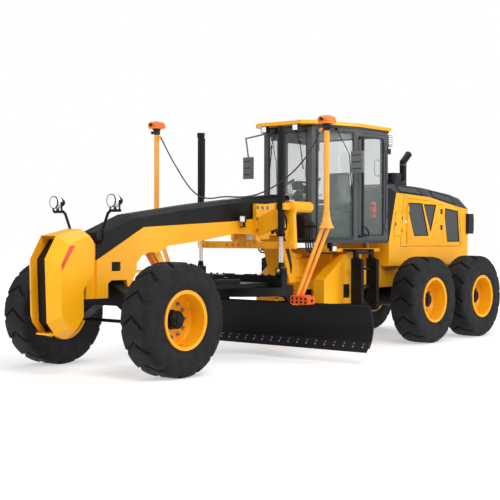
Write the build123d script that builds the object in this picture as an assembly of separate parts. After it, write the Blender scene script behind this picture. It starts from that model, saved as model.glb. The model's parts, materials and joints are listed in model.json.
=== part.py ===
from build123d import *
import math
import os

os.makedirs("parts", exist_ok=True)

# Millimetres. X points forward, Y to the machine's left, Z up, with the ground at Z = 0.
# ---- Layout along the machine
FRONT_OVERHANG = 1134.0      # front axle to the face of the nose weight
WHEELBASE = 6370.0           # front axle to the middle of the tandem
TANDEM_SPACING = 1540.0      # between the two driven axles
REAR_OVERHANG = 1730.0       # middle of the tandem to the back of the hood
PIVOT_AHEAD = 2730.0         # articulation pin ahead of the tandem's middle
CIRCLE_BEHIND = 2450.0       # blade circle's axis behind the front axle
BALL_BEHIND = 300.0          # drawbar ball behind the front axle
CAB_AHEAD = 140.0            # windscreen ahead of the articulation pin

# ---- Wheels
TRACK = 2140.0
TYRE_RADIUS = 675.0
TYRE_WIDTH = 445.0
TREAD_HALF = 150.0           # half width of the flat tread
BROW = 45.0                  # width of the tread's slope down to the sidewall
BROW_DROP = 18.0
LUGS = 14                    # chevron lugs round a tyre
GROOVE = 44.0                # width of the groove between two lugs
GROOVE_DEPTH = 30.0
SIDEWALL_RADIUS = 560.0      # where the sidewall is widest
BEAD_RADIUS = 330.0
FLANGE_RADIUS = 350.0
FLANGE_FACE = 212.0          # outer face of a rim flange from the tyre's middle
FLANGE_THICK = 15.0
RIM_WALL = 20.0
HUB_RADIUS = 105.0
KINGPIN_INBOARD = 230.0      # kingpin axis inside the tyre's middle
STUB_RADIUS = 45.0
STEER_ARM = 240.0            # tie rod's pins behind the kingpins

# ---- Front frame
FRAME_HALF = 175.0
COVER_HALF = 160.0
COVER_CHAMFER = 55.0
LUG_RADIUS = 130.0
LUG_THICK = 60.0
PIVOT_PIN_RADIUS = 45.0
PIVOT_LOW = 979.0
PIVOT_HIGH = 1400.0
LEG_AHEAD = 160.0            # leg's rear face ahead of the pin
NECK_AHEAD = 270.0           # beam's upper rear end ahead of the pin
BALL_UP = 990.0
BALL_RADIUS = 55.0
AXLE_SEAT_UP = 1113.0        # where the axle meets the frame
NOSE_SEAT = 532.0            # rear face of the nose weight ahead of the front axle
NOSE_HALF = 285.0
SLOT_HALF = 132.0            # dark slot down the middle of the nose weight
SLOT_DEPTH = 98.0
BRIDGE_FOOT = 1520.0
SPACE = 8.0                  # between faces of two bodies that swing past each other
RUNNING = 0.3                # radial clearance of a pin in its bore
SLIDE = 0.3                  # between flat faces that slide
HINGE_OUT = 12.0             # door hinge pins outside their panels
HOOD_PIN = 10.0
DOOR_PIN = 9.0

LAMP_STEM = 17.0
LAMP_RADIUS = 68.0

# ---- Blade gear
BEAM_TOP = 1120.0
LUG_TOP = 1225.0
RING_RADIUS = 740.0
RING_WALL = 110.0
RING_TOP = 960.0
RING_BOTTOM = 840.0
LIFT_SPREAD = 746.0          # lift cylinders from the middle plane
LIFT_PIVOT_UP = 2060.0
LIFT_EYE_UP = 1165.0
LIFT_BEHIND = 2420.0         # lift cylinders behind the front axle
ARM_BEHIND = 130.0           # lift arms behind the cylinders
BARREL_RADIUS = 47.0
ROD_RADIUS = 30.0
BLADE_LENGTH = 4270.0
BLADE_EDGE_UP = 165.0
BLADE_TOP_UP = 752.0
BLADE_ARC = 430.0            # radius of the mouldboard's curved face
BLADE_THICK = 25.0
EDGE_BELOW = 60.0            # how far the cutting edge reaches below the board
EDGE_HEIGHT = 155.0
EDGE_THICK = 20.0
CARRIER_BEHIND = 330.0       # tilt pin behind the circle's axis
RAIL_HEIGHTS = (300.0, 640.0)
MAST_SPREAD = 1568.0
MAST_FOOT = 1100.0
MAST_RADIUS = 37.0
MAST_TOP_LEFT = 3120.0
MAST_TOP_RIGHT = 3258.0

# ---- Rear frame
RAIL_HALF = 450.0
RAIL_WIDTH = 100.0
RAIL_LOW = 860.0
RAIL_HIGH = 1195.0
DECK_LOW = 1430.0
CASE_INBOARD = 350.0         # middle of a tandem case inside the tyres' middle
TANDEM_CASE_WIDTH = 200.0
TANDEM_CASE_RADIUS = 250.0
HUB_UP = TYRE_RADIUS
HITCH_BORE = 21.0            # radius of the tow pin's bore
HITCH_PLATE = 30.0
HITCH_LOW = 900.0
HITCH_HIGH = 1030.0

# ---- Cab
CAB_FRONT_HALF = 450.0
CAB_SIDE_HALF = 750.0
CAB_SLANT = 760.0            # windscreen to the middle post
CAB_LENGTH = 1560.0
CAB_FLOOR_UP = 1561.0
CAB_ROOF_UP = 3290.0
CAB_WALL = 50.0
SILL = 55.0
ROOF_THICK = 50.0
DOOR_GAP = 6.0
DOOR_BORDER = 40.0
GLASS = 10.0

MIRROR_ARM = 12.0

# ---- Hood
HOOD_HALF = 600.0
HOOD_WALL = 30.0
HOOD_LOW = RAIL_HIGH
HOOD_FRONT = 1074.0          # front of the dark air box ahead of the tandem's middle
RIDGE_FRONT = 2440.0         # height of the dark top at its front end
RIDGE_HALF_FRONT = 470.0
GRILLE_SUNK = 12.0
GRILLE_THICK = 10.0
GRILLE_BORDER = 24.0
GRILLE_PITCH = 46.0
GRILLE_SLOT = 24.0
TAIL_CHAMFER_X = 230.0       # bevelled corners at the hood's tail
TAIL_CHAMFER_Y = 170.0
TAIL_HALF = 330.0            # grille in the hood's tail
TAIL_LOW = 1350.0
TAIL_HIGH = 2000.0

# ---- Places worked out from the layout
OVERALL = FRONT_OVERHANG + WHEELBASE + REAR_OVERHANG
FRONT_AXLE = OVERALL / 2 - FRONT_OVERHANG
TANDEM = FRONT_AXLE - WHEELBASE
PIVOT = TANDEM + PIVOT_AHEAD
CIRCLE = FRONT_AXLE - CIRCLE_BEHIND
BALL = FRONT_AXLE - BALL_BEHIND
LIFT = FRONT_AXLE - LIFT_BEHIND
CAB = PIVOT + CAB_AHEAD
CAB_MID = CAB - CAB_SLANT
CAB_REAR = CAB - CAB_LENGTH
REAR = TANDEM - REAR_OVERHANG
HITCH = REAR + 95
WHEEL_Y = TRACK / 2
KINGPIN_Y = WHEEL_Y - KINGPIN_INBOARD
TANDEM_CASE_Y = WHEEL_Y - CASE_INBOARD
MAST_X = CIRCLE + 116


def prism(points, start, depth, along="y"):
    """Closed outline, extruded from start by depth along x, y or z."""
    places = {
        "x": lambda a, b: (start, a, b),
        "y": lambda a, b: (a, start, b),
        "z": lambda a, b: (a, b, start),
    }
    ways = {"x": (1, 0, 0), "y": (0, 1, 0), "z": (0, 0, 1)}
    corners = [places[along](a, b) for a, b in points]
    return extrude(make_face(Polyline(corners, close=True)), amount=depth, dir=ways[along])


def slab(points, half):
    """Side outline of (x, z) points, as wide as half on each side of the middle plane."""
    return prism(points, -half, 2 * half)


def block(x0, x1, y0, y1, z0, z1):
    return Pos((x0 + x1) / 2, (y0 + y1) / 2, (z0 + z1) / 2) * Box(abs(x1 - x0), abs(y1 - y0), abs(z1 - z0))


def rod(start, end, radius):
    """Round bar between two points."""
    way = Vector(*end) - Vector(*start)
    return extrude(Plane(origin=start, z_dir=way) * Circle(radius), amount=way.length)


def ball(centre, radius):
    return Pos(*centre) * Sphere(radius)


def turned(points, centre, side=1):
    """Outline of (radius, offset) points turned about the Y axis through centre."""
    face = make_face(Polyline([(r, side * y, 0) for r, y in points], close=True))
    return Pos(*centre) * revolve(face, axis=Axis.Y)


def hinge_lug(x, y, low, high, pin, way):
    """Lug round a door's hinge pin, rooted in the panel on the way side of the pin."""
    lug = rod((x, y, low), (x, y, high), pin + 3)
    lug += block(x, x + way * 40, y - HINGE_OUT - 1, y, low, high)
    return lug - rod((x, y, low - 1), (x, y, high + 1), pin + RUNNING)


def right(shape):
    return mirror(shape, about=Plane.XZ)


def both(shape):
    return [shape, right(shape)]


def save(name, *shapes):
    solids = []
    for shape in shapes:
        solids.extend(shape.solids())
    export_step(Compound(children=solids) if len(solids) > 1 else solids[0], f"parts/{name}.step")


# ---- Wheels ----------------------------------------------------------------------------
def tyre(centre):
    """Tyre of flat facets: chevron lugs whose apex leads, V grooves and plain sidewalls."""
    pitch = math.tau / LUGS
    flat = (pitch - GROOVE / TYRE_RADIUS) / 2    # angle of each of the two facets on a lug
    corner = 1 / math.cos(flat / 2)              # a facet's middle, not its corners, lies on the radius
    bead = FLANGE_FACE - FLANGE_THICK - 0.5

    def ring(radius, y, angles):
        return [Vector(radius * math.cos(a), y, radius * math.sin(a)) + Vector(*centre) for a in angles]

    def lugged(top, depth, y, lead):
        points = []
        for lug in range(LUGS):
            start = lug * pitch - math.pi / 2 - flat / 2 + lead
            points += ring(top * corner, y, [start, start + flat, start + 2 * flat])
            points += ring(top - depth, y, [start + flat + pitch / 2])
        return points

    def plain(radius, y):
        first = -math.pi / 2 - flat / 2 - pitch / 2
        return ring(radius / math.cos(pitch / 4), y, [first + step * pitch / 2 for step in range(2 * LUGS)])

    def strip(first, second):
        faces = []
        for i in range(len(first)):
            j = (i + 1) % len(first)
            faces += [(first[i], first[j], second[j]), (first[i], second[j], second[i])]
        return faces

    def shoulder(lugs, wall):
        faces = []
        for lug in range(LUGS):
            start, middle, stop, groove = lugs[4 * lug:4 * lug + 4]
            here, half = wall[2 * lug], wall[2 * lug + 1]
            after = wall[(2 * lug + 2) % len(wall)]
            faces += [(lugs[4 * lug - 1], start, here), (start, middle, here), (middle, half, here)]
            faces += [(middle, stop, half), (stop, after, half), (stop, groove, after)]
        return faces

    facets = []
    crown = lugged(TYRE_RADIUS, GROOVE_DEPTH, 0, 0)
    bores = []
    for side in (-1, 1):
        edge = lugged(TYRE_RADIUS, GROOVE_DEPTH, side * TREAD_HALF, -flat)
        brow = lugged(TYRE_RADIUS - BROW_DROP, GROOVE_DEPTH, side * (TREAD_HALF + BROW), -flat)
        wall = plain(SIDEWALL_RADIUS, side * TYRE_WIDTH / 2)
        foot = plain(FLANGE_RADIUS + 3, side * bead)
        bore = plain(BEAD_RADIUS + 0.4, side * bead)
        facets += strip(crown, edge) + strip(edge, brow) + shoulder(brow, wall)
        facets += strip(wall, foot) + strip(foot, bore)
        bores.append(bore)
    facets += strip(*bores)
    return Solid(Shell([Face(Wire.make_polygon(corners, close=True)) for corners in facets]))


def rim(centre, side):
    """Dished rim: the disc lies inboard, so the outer side is a deep bowl."""
    inner = BEAD_RADIUS - RIM_WALL
    outline = [
        (FLANGE_RADIUS, FLANGE_FACE), (FLANGE_RADIUS, FLANGE_FACE - FLANGE_THICK),
        (BEAD_RADIUS, FLANGE_FACE - FLANGE_THICK), (BEAD_RADIUS, FLANGE_THICK - FLANGE_FACE),
        (FLANGE_RADIUS, FLANGE_THICK - FLANGE_FACE), (FLANGE_RADIUS, -FLANGE_FACE),
        (inner, -FLANGE_FACE), (inner, -70), (STUB_RADIUS + RUNNING, -70), (STUB_RADIUS + RUNNING, 90),
        (HUB_RADIUS - 25, 90), (HUB_RADIUS, 70), (HUB_RADIUS, -30), (inner - 20, -30), (inner, 0),
        (inner, FLANGE_FACE),
    ]
    return turned(outline, centre, side)


WHEELS = (
    # name, axle X, side
    ("front_left", FRONT_AXLE, 1),
    ("front_right", FRONT_AXLE, -1),
    ("middle_left", TANDEM + TANDEM_SPACING / 2, 1),
    ("middle_right", TANDEM + TANDEM_SPACING / 2, -1),
    ("rear_left", TANDEM - TANDEM_SPACING / 2, 1),
    ("rear_right", TANDEM - TANDEM_SPACING / 2, -1),
)


def make_wheels():
    for name, x, side in WHEELS:
        centre = (x, side * WHEEL_Y, HUB_UP)
        save(f"tyre_{name}", tyre(centre))
        save(f"rim_{name}", rim(centre, side))


# ---- Front frame -----------------------------------------------------------------------
# lower edge of the cover on the beam, as (x from the front axle, z), and the cover's ridge
COVER_FOOT = ((388, 1357), (-395, 1762), (-2190, 1865), (-2600, 1909), (-2600, 2092), (-2993, 2135))
COVER_RIDGE = ((378, 1690), (-205, 1920), (-1415, 2083), (-2546, 2211), (-3061, 2261))


def front_frame():
    """Arched main beam with its leg and lugs at the articulation pin."""
    f = FRONT_AXLE
    leg = PIVOT + LEG_AHEAD
    neck = PIVOT + NECK_AHEAD
    outline = [(f + 388, 900)] + [(f + x, z) for x, z in COVER_FOOT] + [
        (neck, COVER_FOOT[-1][1] + 15), (neck, PIVOT_HIGH + 40), (leg, PIVOT_HIGH), (leg, PIVOT_LOW),
        (leg + 140, PIVOT_LOW), (leg + 400, 1670), (f - 2139, 1691), (f - 1461, 1596), (f - 828, 1528), (f - 650, 1440),
        (f - 501, 1448), (f - 369, 1414), (f - 277, 1320), (f - 263, 1207), (f - 165, 1030), (f - 115, 1030),
        (f - 100, AXLE_SEAT_UP), (f + 155, AXLE_SEAT_UP), (f + 206, 1075), (f + 206, 900),
    ]
    body = slab(outline, FRAME_HALF)
    # braces from the beam to the plate over the drawbar's ball
    body += block(f - 900, f - 200, -110, 110, 1190, 1220)
    for y in (-90, 40):
        body += prism([(f - 640, 1450), (f - 740, 1500), (f - 890, 1205), (f - 830, 1205)], y, 50)
    body -= block(f + 1, f + 148, -FRAME_HALF, FRAME_HALF, 1223, 1335)
    for low in (PIVOT_LOW, PIVOT_HIGH - LUG_THICK):
        lug = Pos(PIVOT, 0, low + LUG_THICK / 2) * Cylinder(LUG_RADIUS, LUG_THICK)
        body += lug + block(PIVOT, leg, -LUG_RADIUS, LUG_RADIUS, low, low + LUG_THICK)
    body += rod((PIVOT, 0, PIVOT_LOW - 20), (PIVOT, 0, PIVOT_HIGH + 15), PIVOT_PIN_RADIUS)
    # ball stud that the drawbar's socket turns on
    body += rod((BALL, 0, BALL_UP), (BALL, 0, 1230), 28)
    body += ball((BALL, 0, BALL_UP), BALL_RADIUS)
    body += block(f + 388, f + NOSE_SEAT, -150, 150, 900, 1560)
    return body


def frame_cover():
    """Dark cover along the top of the beam, its upper edges bevelled."""
    f = FRONT_AXLE
    rear = PIVOT + NECK_AHEAD - 20
    ridge = [(f + x, z) for x, z in COVER_RIDGE] + [(rear, COVER_RIDGE[-1][1])]
    foot = [(f + x, z) for x, z in COVER_FOOT] + [(rear, COVER_FOOT[-1][1] + 14)]
    cover = slab(ridge + foot[::-1], COVER_HALF)
    for (x0, z0), (x1, z1) in zip(ridge, ridge[1:]):
        wedge = [(COVER_HALF - COVER_CHAMFER, 0), (COVER_HALF + 20, -COVER_CHAMFER - 20), (COVER_HALF + 20, 60),
                 (COVER_HALF - COVER_CHAMFER, 60)]
        ends = [make_face(Polyline([(x, y, z + dz) for y, dz in wedge], close=True)) for x, z in ((x0, z0), (x1, z1))]
        cut = loft(ends, ruled=True)
        cover -= cut
        cover -= right(cut)
    corner = prism([(rear - 10, COVER_HALF + 10), (rear - 10, COVER_HALF - 60), (rear + 60, COVER_HALF + 10)],
                   1800, 600, "z")
    return cover - corner - right(corner) - front_frame()


def nose_weight():
    """Push block: two raised halves with bevelled faces, bridged at the top of the slot between them."""
    f = FRONT_AXLE
    front = FRONT_OVERHANG
    near = [(975, 1650), (front, 1385), (1105, 650), (985, 500), (817, 450), (685, 620), (685, 1014),
            (NOSE_SEAT, 1236), (NOSE_SEAT, 1600), (600, 1732)]
    far = [(899, 1540), (front - 108, 1320), (1010, 725), (900, 580), (790, 560), (685, 700), (685, 1014),
           (NOSE_SEAT, 1236), (NOSE_SEAT, 1585), (600, 1655)]
    faces = [
        make_face(Polyline([(f + x, y, z) for x, z in side], close=True))
        for y, side in ((SLOT_HALF, near), (NOSE_HALF, far))
    ]
    half = loft(faces, ruled=True)
    bridge = [(975, 1650), (600, 1732), (NOSE_SEAT, 1600), (NOSE_SEAT, BRIDGE_FOOT), (850, BRIDGE_FOOT + 90)]
    return half + right(half) + slab([(f + x, z) for x, z in bridge], SLOT_HALF)


def nose_panel():
    """Dark panel sunk between the two halves of the push block."""
    sunk = FRONT_OVERHANG - SLOT_DEPTH
    outline = [(850, BRIDGE_FOOT + 90), (sunk, 1375), (sunk - 29, 655), (890, 510), (720, 520), (685, 640),
               (685, 1014), (NOSE_SEAT, 1236), (NOSE_SEAT, BRIDGE_FOOT)]
    return slab([(FRONT_AXLE + x, z) for x, z in outline], SLOT_HALF)


def front_lamps():
    """Round-headed work lamp on a bent stem beside the front of the cover."""
    f = FRONT_AXLE
    route = ((345, 240, 1590), (400, 285, 1710), (400, 385, 1915), (400, 425, 1946), (400, 590, 1946))
    lamp = block(f + 300, f + 378, COVER_HALF, 262, 1560, 1600)
    points = [(f + x, y, z) for x, y, z in route]
    for start, end in zip(points, points[1:]):
        lamp += rod(start, end, LAMP_STEM)
    for corner in points[1:]:
        lamp += ball(corner, LAMP_STEM + 2)
    lamp += rod((f + 410, 520, 1946), (f + 410, 520, 2060), LAMP_STEM)
    lamp += rod((f + 372, 520, 2060), (f + 455, 520, 2060), LAMP_RADIUS)
    return lamp + rod((f + 455, 520, 2060), (f + 470, 520, 2060), LAMP_RADIUS + 6)


def saddle():
    """Casting over the beam, two arms down to the link bar, and their bearing tubes."""
    x = LIFT - ARM_BEHIND
    top = 2110
    cheek = prism([(x + 50, 1600), (x + 50, top), (x - 330, top), (x - 330, 1900), (x - 230, 1620)],
                  FRAME_HALF, 60)
    web = prism([(FRAME_HALF + 60, 1660), (FRAME_HALF + 60, 1900), (LIFT_SPREAD, 2140), (LIFT_SPREAD + 130, 2130),
                 (LIFT_SPREAD + 165, 2050), (LIFT_SPREAD + 130, 1950), (LIFT_SPREAD + 150, 1580),
                 (LIFT_SPREAD + 150, 1500), (LIFT_SPREAD + 70, 1500), (LIFT_SPREAD + 50, 1850)],
                x - 30, 60, "x")
    tube = rod((x + 40, LIFT_SPREAD + 75, LIFT_PIVOT_UP), (x - 400, LIFT_SPREAD + 75, LIFT_PIVOT_UP), 75)
    yoke = block(x + 30, LIFT + 50, LIFT_SPREAD + 62, LIFT_SPREAD + 92, LIFT_PIVOT_UP - 45, LIFT_PIVOT_UP + 45)
    inner = block(x - 30, LIFT + 50, LIFT_SPREAD - 92, LIFT_SPREAD - 62, LIFT_PIVOT_UP - 45, LIFT_PIVOT_UP + 45)
    side = cheek + web + tube + yoke + inner
    side -= rod((LIFT, LIFT_SPREAD - 100, LIFT_PIVOT_UP), (LIFT, LIFT_SPREAD + 100, LIFT_PIVOT_UP), 22 + RUNNING)
    link = block(x - 25, x + 25, -LIFT_SPREAD - 150, LIFT_SPREAD + 150, 1485, 1585)
    for step in range(-3, 4):
        link -= rod((x - 40, step * 110, 1535), (x + 40, step * 110, 1535), 22)
    hanger = block(x - 25, x + 25, -FRAME_HALF - 60, FRAME_HALF + 60, 1585, 1625)
    return side + right(side) + link + hanger


def front_axle():
    """Arched axle beam seated under the frame, with a fork at each end."""
    f = FRONT_AXLE
    end = KINGPIN_Y - 62
    half = [(90, AXLE_SEAT_UP), (170, 1040), (500, 860), (end, 790), (end, 560), (500, 620), (200, 800)]
    outline = half + [(-y, z) for y, z in reversed(half)]
    beam = prism(outline, f - 90, 180, "x")
    for side in (-1, 1):
        y = side * KINGPIN_Y
        for low in (560, 750):
            beam += Pos(f, y, low + 20) * Cylinder(60, 40)
            beam += block(f - 60, f + 60, min(y, side * end), max(y, side * end), low, low + 40)
        beam += rod((f, y, 540), (f, y, 810), 24)
        # narrower neck beside the fork, which the steering arm swings past
        for x0, x1 in ((-95, -60), (60, 95)):
            beam -= block(f + x0, f + x1, side * (end - 110), side * (end + 5), 500, 850)
    return beam


def knuckle(side):
    """Knuckle on the kingpin, with the stub axle outboard and the steering arm behind."""
    f = FRONT_AXLE
    y = side * KINGPIN_Y
    body = Pos(f, y, HUB_UP) * Cylinder(55, 136)
    body += rod((f, y, HUB_UP), (f, side * (WHEEL_Y + 80), HUB_UP), STUB_RADIUS)
    body += rod((f, y + side * 50, HUB_UP), (f, side * (WHEEL_Y - 78), HUB_UP), 70)
    arm = [(-10, 40), (-10, 95), (-250, 26), (-270, 0), (-250, -26), (-215, -20)]
    body += prism([(f + x, y + side * out) for x, out in arm], HUB_UP - 60, 30, "z")
    body -= rod((f, y, 500), (f, y, 850), 24 + RUNNING)
    body -= rod((f - STEER_ARM, y, 600), (f - STEER_ARM, y, 700), 12 + RUNNING)
    return body


def tie_rod():
    """Rod between the two steering arms, with a stud up into each."""
    f = FRONT_AXLE
    x = f - STEER_ARM
    low = HUB_UP - 95
    body = rod((x, -KINGPIN_Y, low), (x, KINGPIN_Y, low), 22)
    for y in (-KINGPIN_Y, KINGPIN_Y):
        body += rod((x, y, low - 10), (x, y, HUB_UP - 30), 12) + Pos(x, y, low) * Cylinder(30, 50)
    return body


# ---- Blade gear ------------------------------------------------------------------------
def lift_barrel(side):
    """Lift cylinder's barrel on cross pins between the arms."""
    y = side * LIFT_SPREAD
    body = rod((LIFT, y, 1650), (LIFT, y, 3146), BARREL_RADIUS)
    body += Pos(LIFT, y, 3120) * Cylinder(BARREL_RADIUS + 8, 60)
    body += Pos(LIFT, y, LIFT_PIVOT_UP) * Cylinder(BARREL_RADIUS + 10, 100)
    body += rod((LIFT, y - 92, LIFT_PIVOT_UP), (LIFT, y + 92, LIFT_PIVOT_UP), 22)
    body -= rod((LIFT, y, 1640), (LIFT, y, 3080), ROD_RADIUS + 1.5)
    return body


def lift_rod(side):
    """Bright rod with its eye between the drawbar's lugs."""
    y = side * LIFT_SPREAD
    body = rod((LIFT, y, LIFT_EYE_UP + 60), (LIFT, y, 2600), ROD_RADIUS)
    body += rod((LIFT, y, 2600), (LIFT, y, 2640), ROD_RADIUS + 1.2)
    body += rod((LIFT, y - 25, LIFT_EYE_UP), (LIFT, y + 25, LIFT_EYE_UP), 72)
    body -= rod((LIFT, y - 30, LIFT_EYE_UP), (LIFT, y + 30, LIFT_EYE_UP), 46)
    return body


def drawbar():
    """A-frame from the ball to the crossbeam that carries the circle."""
    low = RING_TOP + SPACE
    top = low + 60
    plan = [(BALL - 60, 70), (BALL - 60, -70), (CIRCLE + 700, -620), (CIRCLE - 250, -620), (CIRCLE - 520, -240),
            (CIRCLE - 520, 240), (CIRCLE - 250, 620), (CIRCLE + 700, 620)]
    body = prism(plan, low, top - low, "z")
    body -= prism([(BALL - 480, 0), (CIRCLE + 640, -430), (CIRCLE + 430, -430), (CIRCLE + 430, 430),
                   (CIRCLE + 640, 430)], low, top - low, "z")
    body -= Pos(CIRCLE, 0, low + 50) * Cylinder(330, 200)
    body += block(LIFT - 60, LIFT + 60, -LIFT_SPREAD - 60, LIFT_SPREAD + 60, low, BEAM_TOP)
    for y in (-LIFT_SPREAD, LIFT_SPREAD):
        for near, far in ((-56, -32), (32, 56)):
            body += block(LIFT - 55, LIFT + 55, y + near, y + far, BEAM_TOP - 5, LUG_TOP)
        body -= block(LIFT - 61, LIFT + 61, y - 32, y + 32, BEAM_TOP - 45, BEAM_TOP + 5)
        body += rod((LIFT, y - 56, LIFT_EYE_UP), (LIFT, y + 56, LIFT_EYE_UP), 20)
    # socket round the ball stud
    body += Pos(BALL, 0, BALL_UP) * Cylinder(105, 110)
    body += block(BALL - 140, BALL, -70, 70, low - 10, top)
    body -= ball((BALL, 0, BALL_UP), BALL_RADIUS + RUNNING)
    body -= Pos(BALL, 0, BALL_UP + 100) * Cylinder(50, 200)
    # pivot post that the circle turns on
    body += Pos(CIRCLE, 0, (RING_BOTTOM + top) / 2) * (Cylinder(360, top - RING_BOTTOM) - Cylinder(320, 400))
    return body


def circle():
    """Ring with a spoked plate on the drawbar's post, and two arms to the blade carrier."""
    ring = Pos(CIRCLE, 0, (RING_TOP + RING_BOTTOM) / 2) * (
        Cylinder(RING_RADIUS, RING_TOP - RING_BOTTOM) - Cylinder(RING_RADIUS - RING_WALL, 400))
    plate = Pos(CIRCLE, 0, RING_BOTTOM + 20) * (Cylinder(RING_RADIUS - 20, 40) - Cylinder(360 + RUNNING, 400))
    body = ring + plate
    back = CIRCLE - CARRIER_BEHIND
    for y in (-620, 620):
        arm = [(CIRCLE + 60, RING_BOTTOM), (CIRCLE - 420, RING_BOTTOM), (CIRCLE - 470, 560), (back - 60, 260),
               (back + 50, 260), (back + 22, 520), (back + 22, 700), (CIRCLE - 200, 810)]
        body += prism(arm, y - 25, 50)
    body -= rod((back, -700, 320), (back, 700, 320), 30 + RUNNING)
    return body


def blade_carrier():
    """Tilting frame with the rails that the mouldboard slides on."""
    back = CIRCLE - CARRIER_BEHIND
    body = rod((back, -660, 320), (back, 660, 320), 30)
    for y in (-560, 560):
        plate = [(back - 50, 270), (back - 70, 420), (back - 60, 700), (back + 40, 700), (back + 60, 640),
                 (back + 60, 270)]
        body += prism(plate, y - 25, 50)
    for z in RAIL_HEIGHTS:
        body += block(back + 60, back + 90, -590, 590, z - 30, z + 30)
    return body


def mouldboard():
    """Curved blade with two rails along its back."""
    face = CIRCLE - 30
    mid = (BLADE_EDGE_UP + EDGE_BELOW + BLADE_TOP_UP) / 2
    reach = BLADE_TOP_UP - mid
    deep = BLADE_ARC - math.sqrt(BLADE_ARC ** 2 - reach ** 2)
    centre = face + BLADE_ARC - deep
    half_angle = math.asin(reach / BLADE_ARC)

    def at(radius, angle):
        return (centre - radius * math.cos(angle), 0, mid + radius * math.sin(angle))

    outer = BLADE_ARC + BLADE_THICK
    front = ThreePointArc(at(BLADE_ARC, half_angle), at(BLADE_ARC, 0), at(BLADE_ARC, -half_angle))
    rear = ThreePointArc(at(outer, -half_angle), at(outer, 0), at(outer, half_angle))
    outline = make_face([front, Line(front @ 1, rear @ 0), rear, Line(rear @ 1, front @ 0)])
    board = Pos(0, -BLADE_LENGTH / 2, 0) * extrude(outline, amount=BLADE_LENGTH, dir=(0, 1, 0))
    for z in RAIL_HEIGHTS:
        skin = centre - math.sqrt(outer ** 2 - (z - mid) ** 2)
        board += block(CIRCLE - CARRIER_BEHIND + 90 + SLIDE, skin + 15, -1000, 1000, z - 22, z + 22)
    return board


def cutting_edge():
    """Bolt-on edge that follows the mouldboard's slope at its foot."""
    slope = math.asin((BLADE_TOP_UP - BLADE_EDGE_UP - EDGE_BELOW) / 2 / BLADE_ARC)
    up = (-math.sin(slope), math.cos(slope))
    out = (math.cos(slope), math.sin(slope))
    foot = (CIRCLE - 30 + EDGE_BELOW * math.tan(slope), BLADE_EDGE_UP)
    corners = ((0, 0), (EDGE_HEIGHT, 0), (EDGE_HEIGHT, EDGE_THICK), (0, EDGE_THICK))
    points = [(foot[0] + a * up[0] + b * out[0], foot[1] + a * up[1] + b * (out[1] if a else 0)) for a, b in corners]
    return prism(points, -BLADE_LENGTH / 2, BLADE_LENGTH) - mouldboard()


def cable_gland(side):
    """Tapered strain relief from the post to the cable's end."""
    points = cable_points() if side < 0 else cable_points()[::-1]
    end = Vector(*points[0])
    way = (end - Vector(*points[1])).normalized()
    post = Vector(MAST_X, side * MAST_SPREAD, end.Z + 30)
    sleeve = extrude(Plane(origin=end, z_dir=way) * Circle(CABLE_RADIUS + 6), amount=45)
    knee = end + way * 35
    return sleeve + ball(tuple(knee), CABLE_RADIUS + 9) + rod(tuple(knee), tuple(post), CABLE_RADIUS + 4)


def masts():
    """Receiver masts on the blade's ends: foot, two leaning tubes, cone and post."""
    shapes = []
    board = mouldboard()
    for side, top in ((1, MAST_TOP_LEFT), (-1, MAST_TOP_RIGHT)):
        x = MAST_X
        foot = block(CIRCLE - 75, x + 60, side * MAST_FOOT - 50, side * MAST_FOOT + 50, BLADE_TOP_UP - 10, 850)
        foot -= board
        post = rod((x, side * MAST_SPREAD, 1900), (x, side * MAST_SPREAD, top), MAST_RADIUS)
        cone = Pos(x, side * MAST_SPREAD, 1862) * Cone(85, MAST_RADIUS, 195)
        legs = rod((x + 30, side * MAST_FOOT, 820), (x + 30, side * (MAST_SPREAD - 30), 1790), 26)
        legs += rod((x - 30, side * (MAST_FOOT + 25), 820), (x - 30, side * (MAST_SPREAD + 20), 1790), 26)
        shapes.append(foot + post + cone + legs + cable_gland(side))
    return shapes


CABLE_RADIUS = 10.0
# the cable's route from the right mast to the left one, over the cover: (y, z) in each row
CABLE_ROUTE = (
    (-1488, 3112), (-1440, 3060), (-1350, 2945), (-1225, 2795), (-1085, 2645), (-935, 2490), (-775, 2345),
    (-600, 2240), (-420, 2190), (-235, 2183), (-80, 2199), (85, 2200), (255, 2188), (430, 2198), (610, 2245),
    (790, 2325), (960, 2430), (1110, 2548), (1240, 2683), (1345, 2825), (1412, 2930), (1452, 3025),
)


def cable_points():
    lean = 0.18
    return [(CIRCLE + 370 - lean * abs(y), y, z) for y, z in CABLE_ROUTE]


def mast_cable():
    """Cable that hangs from mast to mast, of straight runs joined by tangent arcs."""
    points = [Vector(*p) for p in cable_points()]
    radii = []
    for before, here, after in zip(points, points[1:], points[2:]):
        turn = (here - before).get_angle(after - here)
        shorter = min((here - before).length, (after - here).length)
        radii.append(0.45 * shorter / math.tan(math.radians(turn) / 2))
    path = FilletPolyline(*points, radius=radii)
    start = Plane(origin=path @ 0, z_dir=path % 0)
    cable = sweep(start * Circle(CABLE_RADIUS), path=path)
    ratio = cable.volume / (path.length * math.pi * CABLE_RADIUS ** 2)
    print("cable", round(path.length), "volume ratio", round(ratio, 4), "radii", [round(r) for r in radii])
    return cable


def receivers():
    """Satellite receivers on the mast tops."""
    shapes = []
    for side, top in ((1, MAST_TOP_LEFT), (-1, MAST_TOP_RIGHT)):
        x = MAST_X
        head = [(x - 90, top), (x + 90, top), (x + 110, top + 60), (x + 60, top + 105), (x - 70, top + 95),
                (x - 110, top + 40)]
        shapes.append(prism(head, side * MAST_SPREAD - 75, 150))
    return shapes


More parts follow.
